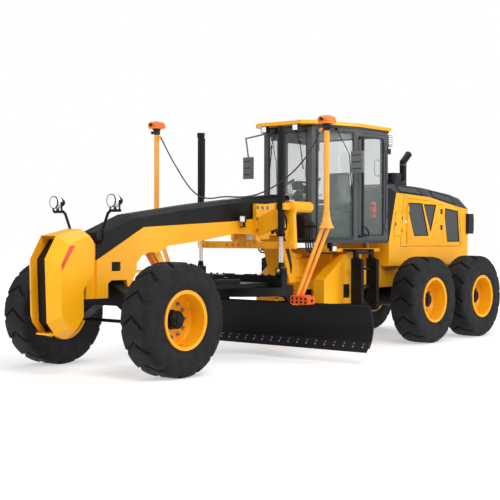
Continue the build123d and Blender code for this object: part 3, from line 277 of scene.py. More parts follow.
def grey_moulding():
    """Mid-grey ABS for the mirrors' backs and lamp shells, finely grained."""
    return even_coat("moulded_grey_abs", "#5E6165", "#686B6F", 0.45, 0.55, 0.0, 0.3)


def pale_moulding():
    """Pale grey ABS for switch panels and levers, finely grained."""
    return even_coat("moulded_pale_abs", "#C9CCCC", "#D8DAD9", 0.42, 0.52)


def hood_moulding():
    """Glass-filled moulding of the hood's top: dark grey, chalkier than enamel."""
    return even_coat("glass_filled_hood_moulding", "#303236", "#3A3C40", 0.45, 0.58, 0.0, 0.35)


def red_lens():
    """Moulded red acrylic: deep colour with a clear shine."""
    return even_coat("moulded_red_acrylic", "#B3141A", "#C81C20", 0.12, 0.2, 0.5)


def glass_screen():
    """Toughened glass over a dark display."""
    return even_coat("dark_display_glass", "#1A2226", "#243038", 0.08, 0.14, 0.5)


def tinted_glass():
    """Toughened safety glass, lightly tinted green-grey, float polished."""
    return surface("toughened_tinted_glass", (700, "#97A69F", "#A6B4AD"), 0.04, None,
                   {"IOR": 1.5, "Alpha": 0.16})


def mirror_glass():
    """Silvered glass: bright, with the slight waviness of a pressed pane."""
    material, tree, shader, place = blank_material(
        "silvered_mirror_glass", {"Metallic": 1.0, "Base Color": linear("#DDE2E4")})
    feed(tree, shader, {"Roughness": uneven(tree, place, 90, 0.02, 0.06)})
    return material


def chrome_plate():
    """Hard chrome on a ground rod: mirror bright with faint grinding rings."""
    material, tree, shader, place = blank_material(
        "hard_chrome_plate", {"Metallic": 1.0, "Base Color": linear("#E4E6E8")})
    # grinding marks are microns; drawn as 5 mm rings along the rod
    rings = {"Scale": bands_per_metre(5), "Distortion": 2.0, "bands_direction": "Z"}
    wave = add(tree, "ShaderNodeTexWave", rings, {"Vector": place}).outputs["Fac"]
    rough = add(tree, "ShaderNodeMapRange", {"To Min": 0.1, "To Max": 0.17}, {"Value": wave})
    feed(tree, shader, {"Roughness": rough.outputs["Result"]})
    return material


def perforated_sheet():
    """Black-coated steel sheet punched with rows of round holes; the holes are drawn as dark spots of painted
    shade.
    """
    material, tree, shader, place = blank_material(
        "perforated_coated_sheet", {"Roughness": 0.5, "Specular IOR Level": 0.3})
    # holes are 5 mm apart; drawn at 12 mm
    rows = {"Scale": per_metre(12), "Randomness": 0.0}
    holes = add(tree, "ShaderNodeTexVoronoi", rows, {"Vector": place}).outputs["Distance"]
    # the dark stop colours the holes: painted shade of the space behind the sheet; the lighter stop is the sheet's
    # own coat
    shade = add(tree, "ShaderNodeValToRGB", None, {"Fac": holes}, [(0.25, "#1B1C1E"), (0.4, "#46484B")])
    bump = add(tree, "ShaderNodeBump", {"Strength": 0.4, "Distance": 1.5 * MM}, {"Height": holes})
    feed(tree, shader, {"Base Color": shade.outputs["Color"], "Normal": bump.outputs["Normal"]})
    return material


def clear_lens():
    """Moulded polycarbonate over a bright reflector: white, with the fine flutes of a lamp glass."""
    material, tree, shader, place = blank_material(
        "moulded_lamp_lens", {"IOR": 1.58, "Roughness": 0.12, "Coat Weight": 0.6})
    # flutes are 6 mm apart and shown so
    rows = {"Scale": bands_per_metre(6), "bands_direction": "Y"}
    flutes = add(tree, "ShaderNodeTexWave", rows, {"Vector": place}).outputs["Fac"]
    bump = add(tree, "ShaderNodeBump", {"Strength": 0.3, "Distance": 0.8 * MM}, {"Height": flutes})
    feed(tree, shader, {"Base Color": mottled(tree, place, 40, "#F1F3F4", "#FBFBFB"),
                        "Normal": bump.outputs["Normal"]})
    return material


def reflective_tape():
    """Retroreflective vinyl: orange-red, with a grid of tiny prisms under a smooth film."""
    material, tree, shader, place = blank_material(
        "retroreflective_vinyl", {"Roughness": 0.3, "Coat Weight": 0.4})
    # prisms are 2 mm across; drawn at 8 mm
    cells = add(tree, "ShaderNodeTexVoronoi", {"Scale": per_metre(8)}, {"Vector": place}).outputs["Distance"]
    shade = add(tree, "ShaderNodeValToRGB", None, {"Fac": cells}, [(0.0, "#F2501E"), (0.6, "#D93A12")])
    feed(tree, shader, {"Base Color": shade.outputs["Color"]})
    return material


def seat_cloth():
    """Woven polyester over foam: dark grey, matt, with a fine crosswise weave."""
    material, tree, shader, place = blank_material(
        "woven_polyester_cloth", {"Sheen Weight": 0.3, "Roughness": 0.85})
    # threads are 1 mm apart; drawn at 6 mm
    across, up = (add(tree, "ShaderNodeTexWave", {"Scale": bands_per_metre(6), "bands_direction": way},
                      {"Vector": place}).outputs["Fac"] for way in ("Y", "Z"))
    weave = add(tree, "ShaderNodeMath", {"operation": "MULTIPLY"}, {0: across, 1: up}).outputs[0]
    shade = add(tree, "ShaderNodeValToRGB", None, {"Fac": weave}, [(0.0, "#212226"), (1.0, "#3A3B40")])
    bump = add(tree, "ShaderNodeBump", {"Strength": 0.4, "Distance": 0.6 * MM}, {"Height": weave})
    feed(tree, shader, {"Base Color": shade.outputs["Color"], "Normal": bump.outputs["Normal"]})
    return material


FINISH_OF_SLOT = {
    "yellow_paint": yellow_enamel,
    "black_paint": black_enamel,
    "cab_grey": grey_powder_coat,
    "tyre_rubber": tyre_rubber,
    "chrome": chrome_plate,
    "tinted_glass": tinted_glass,
    "black_plastic": moulded_plastic,
    "seat_cloth": seat_cloth,
    "engine_iron": cast_iron,
    "edge_steel": wear_steel,
    "cable_rubber": hose_rubber,
    "mast_orange": orange_powder_coat,
}
# the other finishes go under the slot of the nearest stuff
_made = {}


def finish(maker):
    """The material that a maker function gives, made once."""
    if maker not in _made:
        _made[maker] = maker()
    return _made[maker]


# ---- mesh helpers

def linked(name, data):
    """A new object in the scene."""
    made = bpy.data.objects.new(name, data)
    bpy.context.scene.collection.objects.link(made)
    return made


def object_from(name, mesh_or_curve, body, maker):
    """A new object, dressed and riding on its body."""
    made = linked(name, mesh_or_curve)
    made.data.materials.append(finish(maker))
    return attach(made, body)


def mesh_from(name, bm):
    """The mesh that a bmesh holds, with its faces turned outward."""
    bmesh.ops.recalc_face_normals(bm, faces=bm.faces)
    mesh = bpy.data.meshes.new(name)
    bm.to_mesh(mesh)
    bm.free()
    return mesh


def mesh_piece(name, bm, body, maker, bevel=0.0, smooth=True):
    """Turns a bmesh into a piece, with rounded edges where bevel is given in metres."""
    mesh = mesh_from(name, bm)
    made = object_from(name, mesh, body, maker)
    if bevel:
        round_edges(made, bevel)
    if smooth:
        smooth_by_angle(mesh)
    return made


@contextmanager
def piece(name, body, maker, bevel=0.0, smooth=True):
    """An empty bmesh to fill, which becomes a piece on its body when the block ends."""
    bm = bmesh.new()
    yield bm
    mesh_piece(name, bm, body, maker, bevel, smooth)


def smooth_by_angle(mesh, degrees=35):
    """Smooth faces with the edges past this angle kept sharp."""
    mesh.polygons.foreach_set("use_smooth", [True] * len(mesh.polygons))
    mesh.set_sharp_from_angle(angle=math.radians(degrees))


def round_edges(made, width):
    """A small radius on sharp edges, so that they catch the light."""
    bevel = made.modifiers.new("edge radius", "BEVEL")
    bevel.width = width
    bevel.segments = 2
    bevel.limit_method = "ANGLE"
    bevel.angle_limit = math.radians(40)


def skin(bm, rings):
    """Faces from each ring of corners to the next."""
    for low, high in zip(rings, rings[1:]):
        for i in range(len(low)):
            j = (i + 1) % len(low)
            bm.faces.new([low[j], low[i], high[i], high[j]])


def capped(bm, rings):
    """A solid with these rings of corners, closed at both ends."""
    bm.faces.new(rings[0])
    bm.faces.new(rings[-1][::-1])
    skin(bm, rings)


def prism(bm, outline, start, depth, along="y"):
    """A flat outline pulled along one axis; its points are (x, z) for y and (x, y) for z."""
    rings = [[bm.verts.new((a, c, b) if along == "y" else (a, b, c)) for a, b in outline]
             for c in (start, start + depth)]
    capped(bm, rings)


def box(bm, corner, opposite):
    """A block between two opposite corners."""
    (x0, x1), (y0, y1), (z0, z1) = (sorted(pair) for pair in zip(corner, opposite))
    prism(bm, [(x0, y0), (x1, y0), (x1, y1), (x0, y1)], z0, z1 - z0, "z")


def cylinder(bm, start, end, radius, end_radius=None, sides=24):
    """A closed round bar or cone between two points."""
    start, end = Vector(start), Vector(end)
    way = end - start
    turn = way.to_track_quat("Z", "Y").to_matrix().to_4x4()
    place = Matrix.Translation((start + end) / 2) @ turn
    bmesh.ops.create_cone(bm, cap_ends=True, segments=sides, radius1=radius,
                          radius2=radius if end_radius is None else end_radius, depth=way.length,
                          matrix=place)


def turns(count):
    """Angles evenly round a circle."""
    return [math.tau * i / count for i in range(count)]


def ring_of(centre, radius, count, axis):
    """Places evenly round a circle about the y or z axis."""
    spots = [(radius * math.cos(a), radius * math.sin(a)) for a in turns(count)]
    return [Vector(centre) + Vector((a, 0, b) if axis == "y" else (a, b, 0)) for a, b in spots]


def lathe(bm, profile, centre, axis, steps=48):
    """Turns (radius, along) points about an axis through centre; ends at radius 0 close on the axis."""
    axis = Vector(axis).normalized()
    side = axis.orthogonal().normalized()
    other = axis.cross(side)
    rings = []
    for radius, along in profile:
        middle = Vector(centre) + axis * along
        if radius < 1e-6:
            rings.append([bm.verts.new(middle)])
            continue
        rings.append([bm.verts.new(middle + side * radius * math.cos(a) + other * radius * math.sin(a))
                      for a in turns(steps)])
    for low, high in zip(rings, rings[1:]):
        for i in range(steps):
            j = (i + 1) % steps
            corners = [low[i % len(low)], low[j % len(low)], high[j % len(high)], high[i % len(high)]]
            face = list(dict.fromkeys(corners))
            if len(face) > 2:
                bm.faces.new(face)
    return rings


def normal_of(corners):
    return (corners[1] - corners[0]).cross(corners[2] - corners[1]).normalized()


def plate(bm, corners, thick, lift=0.0):
    """A flat plate on these corners, raised by lift along the normal that their turn gives."""
    corners = [Vector(corner) for corner in corners]
    up = normal_of(corners)
    capped(bm,
           [[bm.verts.new(corner + up * height) for corner in corners] for height in (lift + thick, lift)])


def border(bm, corners, width, thick, lift=0.0):
    """A flat frame just inside these corners."""
    corners = [Vector(corner) for corner in corners]
    count = len(corners)
    up = normal_of(corners)
    inner = []
    for i, corner in enumerate(corners):
        back = (corners[i - 1] - corner).normalized()
        ahead = (corners[(i + 1) % count] - corner).normalized()
        inner.append(corner + (back + ahead) * width / back.cross(ahead).length)
    rings = [[bm.verts.new(place + up * height) for place in line] for line, height in (
        (corners, lift), (corners, lift + thick), (inner, lift + thick), (inner, lift))]
    for low, high in zip(rings, rings[1:] + rings[:1]):
        for i in range(count):
            j = (i + 1) % count
            bm.faces.new([low[i], low[j], high[j], high[i]])


def rectangle(centre, facing, wide, tall):
    """Four corners of an upright panel that faces this way, in the turn that makes its normal face out."""
    facing = Vector(facing).normalized()
    side = UP.cross(facing).normalized()
    up = facing.cross(side)
    return [Vector(centre) + side * x * wide / 2 + up * y * tall / 2
            for x, y in ((-1, -1), (1, -1), (1, 1), (-1, 1))]


def pane_across(x, half, low, high):
    """Corners of an upright pane across the machine that faces ahead."""
    return [(x, -half, low), (x, half, low), (x, half, high), (x, -half, high)]


def square_lamp(name, body, centre, facing, wide, tall, depth):
    """Work lamp: a rounded housing, a fluted lens and the bezel that holds it."""
    corners = rectangle(centre, facing, wide, tall)
    with piece(f"{name}_housing", body, moulded_plastic, min(wide, tall) * 0.12) as bm:
        plate(bm, corners, depth, -depth)
    with piece(f"{name}_bezel", body, moulded_plastic, 0.003) as bm:
        border(bm, corners, 0.009, 0.012)
    with piece(f"{name}_lens", body, clear_lens, 0.003) as bm:
        plate(bm, rectangle(centre, facing, wide - 0.014, tall - 0.014), 0.008)


def along(table, x):
    """Value at x from (x, value) rows whose x goes down."""
    for (x0, low), (x1, high) in zip(table, table[1:]):
        if x >= x1:
            return low + (high - low) * (x0 - x) / (x0 - x1)
    return table[-1][1]


def bolt_heads(bm, places, way, across, height, sides=6):
    """Hexagon heads at these places, standing out along way."""
    way = Vector(way).normalized()
    for at in places:
        at = Vector(at)
        cylinder(bm, at - way * height * 0.2, at + way * height, across / math.sqrt(3), sides=sides)


def tube_curve(name, points, radius, body, maker, resolution=6):
    """A round tube along a smooth line through the turns of these points."""
    curve = bpy.data.curves.new(name, "CURVE")
    curve.dimensions = "3D"
    spline = curve.splines.new("NURBS")
    spline.points.add(len(points) - 1)
    for spot, place in zip(spline.points, points):
        spot.co = (*place, 1.0)
    spline.order_u = 3
    spline.use_endpoint_u = True
    spline.resolution_u = resolution
    curve.bevel_depth = radius
    curve.bevel_resolution = 4
    curve.use_fill_caps = True
    return object_from(name, curve, body, maker)


# ---- settings

class GraderSettings(bpy.types.PropertyGroup):
    """Sizes and colours that a user would change."""
    floor_colour: bpy.props.FloatVectorProperty(
        name="Floor", description="Colour of the studio floor", subtype="COLOR", size=4,
        default=linear("#F4F4F4"), min=0.0, max=1.0)
    lamp_power: bpy.props.FloatProperty(
        name="Lamp power", description="Power of the key softbox", default=1150.0, min=0.0, unit="POWER")
    lug_count: bpy.props.IntProperty(
        name="Lugs", description="Chevron lugs round one tyre", default=14, min=8, max=40)
    lug_depth: bpy.props.FloatProperty(name="Lug depth", description="Depth of the tread's grooves",
                                       default=0.030, min=0.005, max=0.1, unit="LENGTH")
    cable_diameter: bpy.props.FloatProperty(name="Cable",
                                            description="Diameter of the cable between the masts",
                                            default=0.02, min=0.005, max=0.05, unit="LENGTH")


# ---- operators

class GRADER_OT_stage(bpy.types.Operator):
    """Floor, soft lamps, world and camera"""
    bl_idname = "grader.stage"
    bl_label = "Stage"

    def execute(self, context):
        settings = context.scene.grader
        scene = context.scene
        scene.view_settings.view_transform = "Standard"
        self.floor(settings)
        self.world(scene)
        self.lamps(settings)
        self.camera(scene)
        return {"FINISHED"}

    def floor(self, settings):
        bm = bmesh.new()
        bmesh.ops.create_grid(bm, x_segments=1, y_segments=1, size=120)
        made = linked("studio_floor", mesh_from("studio_floor", bm))
        material = bpy.data.materials.new("pale_studio_floor")
        material.use_nodes = True
        tree = material.node_tree
        tree.nodes.clear()
        matt = add(tree, "ShaderNodeBsdfDiffuse", {"Color": settings.floor_colour[:]})
        dull = add(tree, "ShaderNodeBsdfDiffuse", {"Color": (0.6, 0.6, 0.6, 1.0)})
        # the lift grows away from the machine, so that its shadow stays and the far floor is white
        reach = add(tree, "ShaderNodeVectorMath", {"operation": "LENGTH"},
                    {0: add(tree, "ShaderNodeTexCoord").outputs["Object"]})
        lift = add(tree, "ShaderNodeMapRange",
                   {"From Min": 6.0, "From Max": 12.0, "To Min": 0.46, "To Max": 0.86},
                   {"Value": reach.outputs["Value"]})
        white = add(tree, "ShaderNodeEmission", None, {"Strength": lift.outputs["Result"]})
        both = add(tree, "ShaderNodeAddShader", None, {0: dull.outputs[0], 1: white.outputs[0]})
        # lamps see the plain matt floor; the eye and shiny metal see it lifted to white, with its shadow kept
        path = add(tree, "ShaderNodeLightPath")
        seen = add(tree, "ShaderNodeMath", {"operation": "MAXIMUM"},
                   {0: path.outputs["Is Camera Ray"], 1: path.outputs["Is Glossy Ray"]})
        seen = add(tree, "ShaderNodeMath", {"operation": "MAXIMUM"},
                   {0: seen.outputs[0], 1: path.outputs["Is Transmission Ray"]})
        mixed = add(tree, "ShaderNodeMixShader", None,
                    {0: seen.outputs[0], 1: matt.outputs[0], 2: both.outputs[0]})
        add(tree, "ShaderNodeOutputMaterial", None, {"Surface": mixed.outputs[0]})
        made.data.materials.append(material)

    def world(self, scene):
        scene.world = bpy.data.worlds.new("studio_world")
        scene.world.use_nodes = True
        tree = scene.world.node_tree
        tree.nodes.clear()
        fill = add(tree, "ShaderNodeBackground", {"Color": linear("#FFFFFF"), "Strength": 0.42})
        white = add(tree, "ShaderNodeBackground", {"Color": linear("#FFFFFF"), "Strength": 1.0})
        path = add(tree, "ShaderNodeLightPath")
        seen = add(tree, "ShaderNodeMath", {"operation": "MAXIMUM"},
                   {0: path.outputs["Is Camera Ray"], 1: path.outputs["Is Transmission Ray"]})
        mixed = add(tree, "ShaderNodeMixShader", None,
                    {0: seen.outputs[0], 1: fill.outputs[0], 2: white.outputs[0]})
        add(tree, "ShaderNodeOutputWorld", None, {"Surface": mixed.outputs[0]})

    def lamps(self, settings):
        # name, place, aim, size in metres, share of the key's power
        softboxes = (
            ("key_softbox", (7.0, 10.0, 11.0), (0.0, 0.0, 1.0), 7.0, 1.0),
            ("front_softbox", (14.0, -3.0, 6.0), (2.0, 0.0, 1.2), 6.0, 0.45),
            ("top_softbox", (-3.0, 0.0, 12.0), (-1.0, 0.0, 1.0), 9.0, 0.5),
            ("side_softbox", (-6.0, 13.0, 5.5), (-3.0, 0.6, 1.6), 6.0, 0.70),
            ("rear_softbox", (-13.0, -9.0, 7.0), (-2.0, 0.0, 1.2), 7.0, 0.4),
        )
        for name, place, aim, size, share in softboxes:
            light = bpy.data.lights.new(name, "AREA")
            light.size = size
            light.energy = settings.lamp_power * share
            made = linked(name, light)
            made.location = place
            made.rotation_euler = (Vector(aim) - Vector(place)).to_track_quat("-Z", "Y").to_euler()

    def camera(self, scene):
        eye = Vector((12.2934, 9.7010, 1.613))
        yaw, pitch, roll = math.radians(220.26), math.radians(-0.580), math.radians(0.132)
        way = Vector((math.cos(yaw) * math.cos(pitch), math.sin(yaw) * math.cos(pitch), math.sin(pitch)))
        lens = bpy.data.cameras.new("camera")
        lens.sensor_width = 36.0
        lens.lens = 76.04
        turn = way.to_track_quat("-Z", "Y").to_matrix().to_4x4() @ Matrix.Rotation(roll, 4, "Z")
        scene.camera = linked("camera", lens)
        scene.camera.matrix_world = Matrix.Translation(eye) @ turn


class GRADER_OT_mast_cable(bpy.types.Operator):
    """Cable that hangs between the two masts and lies over the frame cover"""
    bl_idname = "grader.mast_cable"
    bl_label = "Mast cable"

    # the route's (y, z) points from the right mast's gland to the left one's, as in the part's source
    route = (
        (-1.488, 3.112), (-1.440, 3.060), (-1.350, 2.945), (-1.225, 2.795), (-1.085, 2.645), (-0.935, 2.490),
        (-0.775, 2.345), (-0.600, 2.240), (-0.420, 2.190), (-0.235, 2.183), (-0.080, 2.199), (0.085, 2.200),
        (0.255, 2.188), (0.430, 2.198), (0.610, 2.245), (0.790, 2.325), (0.960, 2.430), (1.110, 2.548),
        (1.240, 2.683), (1.345, 2.825), (1.412, 2.930), (1.452, 3.025),
    )
    lean = 0.18

    def execute(self, context):
        diameter = context.scene.grader.cable_diameter
        middle = CIRCLE + 0.370
        points = [(middle - self.lean * abs(y), y, z) for y, z in self.route]
        cable = tube_curve("mast_cable_line", points, diameter / 2, "mouldboard", hose_rubber,
                           resolution=10)
        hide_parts("mast_cable")
        return {"FINISHED"}


class GRADER_OT_frame_finishes(bpy.types.Operator):
    """Finish of every solid that the frame holds"""
    bl_idname = "grader.frame_finishes"
    bl_label = "Frame finishes"

    # nodes whose shapes are curved all over and take no edge radius
    plain_edges = ("tyre", "rim", "mast_cable", "cab_glass", "door_glass", "lift_rod", "seat")
    edge_radius = 0.004
    softer_edges = {"mirrors": 0.014, "work_lamps": 0.010, "cab_roof": 0.018, "hood_top": 0.012,
                    "receivers": 0.018, "precleaner": 0.008}
    own_finishes = {"mirrors": grey_moulding, "hood_top": hood_moulding, "receivers": orange_moulding}

    def execute(self, context):
        slots = {part["node"]: part["material_slot"] for part in frame["record"]["subparts"]}
        for name, made in NODES.items():
            made.data.materials.clear()
            made.data.materials.append(finish(self.own_finishes.get(name, FINISH_OF_SLOT[slots[name]])))
            if not name.startswith(self.plain_edges):
                round_edges(made, self.softer_edges.get(name, self.edge_radius))
        return {"FINISHED"}


class GRADER_OT_tyres(bpy.types.Operator):
    """Grader tyres with chevron lugs, one mesh shared by all six wheels"""
    bl_idname = "grader.tyres"
    bl_label = "Tyres"

    # (radius, across) from the inner bead over the tread to the outer one, in metres
    sidewall = ((0.331, 0.188), (0.340, 0.197), (0.358, 0.203), (0.372, 0.209), (0.380, 0.207),
                (0.388, 0.212), (0.430, 0.2205), (0.480, 0.2222), (0.530, 0.2210), (0.572, 0.2165),
                (0.580, 0.2190), (0.590, 0.2150), (0.600, 0.2080))
    tread_edge = 0.205
    # (across, drop below the lug's crown): stations of one lug from its middle to its foot on the sidewall
    lug_line = ((0.0, 0.0), (0.075, 0.0), (0.150, 0.002), (0.178, 0.009), (0.200, 0.028), (0.2150, 0.062))
    # width of the groove between two lugs, and how far out from the middle a lug runs straight
    groove = 0.044
    straight = 0.165

    def execute(self, context):
        settings = context.scene.grader
        low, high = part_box(f"tyre_{WHEELS[0]}")
        radius = (high.z - low.z) / 2
        mesh = self.mesh(radius, settings.lug_count, settings.lug_depth)
        for wheel in WHEELS:
            made = linked(f"lugged_tyre_{wheel}", mesh)
            made.location = centre_of(f"tyre_{wheel}")
            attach(made, f"wheel_{wheel}")
            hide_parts(f"tyre_{wheel}")
        return {"FINISHED"}

    def mesh(self, radius, count, depth):
        bm = bmesh.new()
        floor = radius - depth
        crown = [(floor - 0.006 * (y / self.tread_edge) ** 2, y) for y in (0.19, 0.13, 0.06)]
        half = [*self.sidewall, (floor - 0.014, 0.2), *crown]
        profile = [(r, -y) for r, y in half] + [(floor, 0.0)] + [(r, y) for r, y in half[::-1]]
        lathe(bm, profile, (0, 0, 0), (0, 1, 0), 90)
        pitch = math.tau / count
        half = (pitch - self.groove / radius) / 2
        for step in range(count):
            self.lug(bm, step * pitch - math.pi / 2 + half / 2, radius, floor, pitch)
        mesh = mesh_from("lugged_tyre", bm)
        mesh.materials.append(finish(tyre_rubber))
        smooth_by_angle(mesh, 30)
        return mesh

    def lug(self, bm, angle, radius, floor, pitch):
        """One wide chevron from shoulder to shoulder, its point leading, with rounded crown edges."""
        wide = (pitch - self.groove / radius) / 2
        edge = 0.012 / radius
        line = [(-y, drop) for y, drop in self.lug_line[:0:-1]] + list(self.lug_line)
        rings = []
        for y, drop in line:
            middle = angle - wide * min(abs(y), self.straight) / self.straight
            top = radius - drop
            foot = min(floor, top) - 0.02
            half = wide * (1 - 0.05 * abs(y) / 0.22)
            ring = [(-half - edge * 0.6, foot), (-half - edge * 0.1, top - 0.010),
                    (-half + edge * 0.5, top - 0.002)]
            ring += [(half * share, top) for share in (-0.86, -0.3, 0.3, 0.86)]
            ring += [(-turn, r) for turn, r in ring[2::-1]]
            rings.append([bm.verts.new((r * math.cos(middle + turn), y, r * math.sin(middle + turn)))
                          for turn, r in ring])
        capped(bm, rings)


class GRADER_OT_wheel_fittings(bpy.types.Operator):
    """Hub caps, wheel nuts, clamp rings and valve stems"""
    bl_idname = "grader.wheel_fittings"
    bl_label = "Wheel fittings"

    nut_count = 12
    nut_circle = 0.205
    disc_face = -0.030
    hub_end = 0.090

    def execute(self, context):
        for wheel in WHEELS:
            side = 1 if wheel.endswith("left") else -1
            centre = centre_of(f"tyre_{wheel}")
            out = Vector((0, side, 0))
            body = f"wheel_{wheel}"
            with piece(f"hub_cap_{wheel}", body, black_enamel) as bm:
                cap = ((0.116, self.disc_face + 0.001), (0.116, self.disc_face + 0.02),
                       (0.1065, self.disc_face + 0.03), (0.1065, 0.072), (0.083, self.hub_end + 0.004),
                       (0.05, self.hub_end + 0.006), (0.05, self.hub_end + 0.016),
                       (0.0, self.hub_end + 0.018))
                lathe(bm, cap, centre, out, 36)
                bolt_heads(bm, ring_of(centre + out * (self.hub_end + 0.003), 0.067, 6, "y"), out, 0.016,
                           0.008)
            with piece(f"wheel_nuts_{wheel}", body, zinc_plate) as bm:
                places = ring_of(centre + out * self.disc_face, self.nut_circle, self.nut_count, "y")
                for at in places:
                    cylinder(bm, at, at + out * 0.006, 0.024, sides=20)
                bolt_heads(bm, places, out, 0.034, 0.028)
                for at in places:
                    cylinder(bm, at + out * 0.02, at + out * 0.04, 0.010, sides=12)
            with piece(f"lock_ring_{wheel}", body, yellow_enamel) as bm:
                # lock ring that holds the bead, split where its ends meet
                ring = ((0.3505, 0.2122), (0.3505, 0.2165), (0.343, 0.2195), (0.334, 0.2165), (0.331, 0.2122))
                lathe(bm, ring, centre, out, 72)
                at = centre + Vector((0, side * 0.10, -0.292))
                cylinder(bm, at, at + Vector((0, side * 0.045, 0.012)), 0.008, sides=12)
                cylinder(bm, at + Vector((0, side * 0.045, 0.012)), at + Vector((0, side * 0.07, 0.019)),
                         0.011, sides=12)
        return {"FINISHED"}


class GRADER_OT_nose(bpy.types.Operator):
    """Reflectors, foot plate and, as painted shade, a black block in the leg's hole on the push block"""
    bl_idname = "grader.nose"
    bl_label = "Push block fittings"

    # corners of the reflector on the block's side: (ahead of the axle, up)
    mark = ((0.893, 1.532), (0.812, 1.536), (1.006, 1.252), (1.019, 1.318))

    def execute(self, context):
        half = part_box("nose_weight")[1].y
        for name, side in SIDES:
            with piece(f"reflector_{name}", "front_frame", reflective_tape) as bm:
                corners = [(AXLE + x, side * half, z) for x, z in self.mark[::-side]]
                plate(bm, corners, 0.004, -0.001)
        with piece("leg_hole_painted_shade", "front_frame", black_enamel, 0.012) as bm:
            # black block that fills the hole through the front leg: painted shade of the hole's inside
            box(bm, (AXLE + 0.003, -0.168, 1.225), (AXLE + 0.146, 0.168, 1.333))
        with piece("push_block_foot", "front_frame", yellow_enamel, 0.003) as bm:
            box(bm, (AXLE + 0.895, -0.1315, 0.500), (AXLE + 1.048, 0.1315, 0.522))
            for y in (-0.07, 0.07):
                cylinder(bm, (AXLE + 0.99, y, 0.520), (AXLE + 0.99, y, 0.534), 0.016, sides=6)
        return {"FINISHED"}


class GRADER_OT_front_lamps(bpy.types.Operator):
    """Lenses, bezels, finned housings and stirrups of the round front lamps"""
    bl_idname = "grader.front_lamps"
    bl_label = "Front lamps"

    out = 0.520
    up = 2.060
    radius = 0.068

    def execute(self, context):
        front = AXLE + 0.470
        ahead = Vector((1, 0, 0))
        for name, side in SIDES:
            centre = Vector((front, side * self.out, self.up))
            with piece(f"front_lamp_lens_{name}", "front_frame", clear_lens) as bm:
                dome = ((0.0690, -0.074), (0.0755, -0.072), (0.0760, -0.004), (0.069, 0.006),
                        (0.050, 0.012), (0.030, 0.016), (0.0, 0.018))
                lathe(bm, dome, centre, ahead, 40)
            with piece(f"front_lamp_bezel_{name}", "front_frame", moulded_plastic) as bm:
                rim = ((0.070, 0.004), (0.072, 0.010), (0.077, 0.008), (0.0795, 0.0), (0.0785, -0.008),
                       (0.074, -0.010))
                lathe(bm, rim, centre, ahead, 40)
            with piece(f"front_lamp_housing_{name}", "front_frame", black_enamel) as bm:
                back = ((0.0, -0.156), (0.030, -0.155), (0.042, -0.145), (0.050, -0.125), (0.0685, -0.098),
                        (0.0685, -0.090))
                lathe(bm, back, centre, ahead, 36)
                for step in range(2):
                    lathe(bm, self.fin(-0.092 + step * 0.011), centre, ahead, 36)
            with piece(f"front_lamp_stirrup_{name}", "front_frame", black_enamel, 0.002) as bm:
                for y in (-0.083, 0.076):
                    box(bm, centre + Vector((-0.070, y, -0.100)), centre + Vector((-0.045, y + 0.007, 0.010)))
                box(bm, centre + Vector((-0.075, -0.083, -0.107)), centre + Vector((-0.040, 0.083, -0.100)))
                bolt_heads(bm, [centre + Vector((-0.0575, 0.083, 0.0))], (0, 1, 0), 0.019, 0.009)
                bolt_heads(bm, [centre + Vector((-0.0575, -0.083, 0.0))], (0, -1, 0), 0.019, 0.009)
        return {"FINISHED"}

    def fin(self, at):
        return ((self.radius - 0.002, at), (self.radius + 0.005, at + 0.001),
                (self.radius + 0.005, at + 0.005), (self.radius - 0.002, at + 0.006))


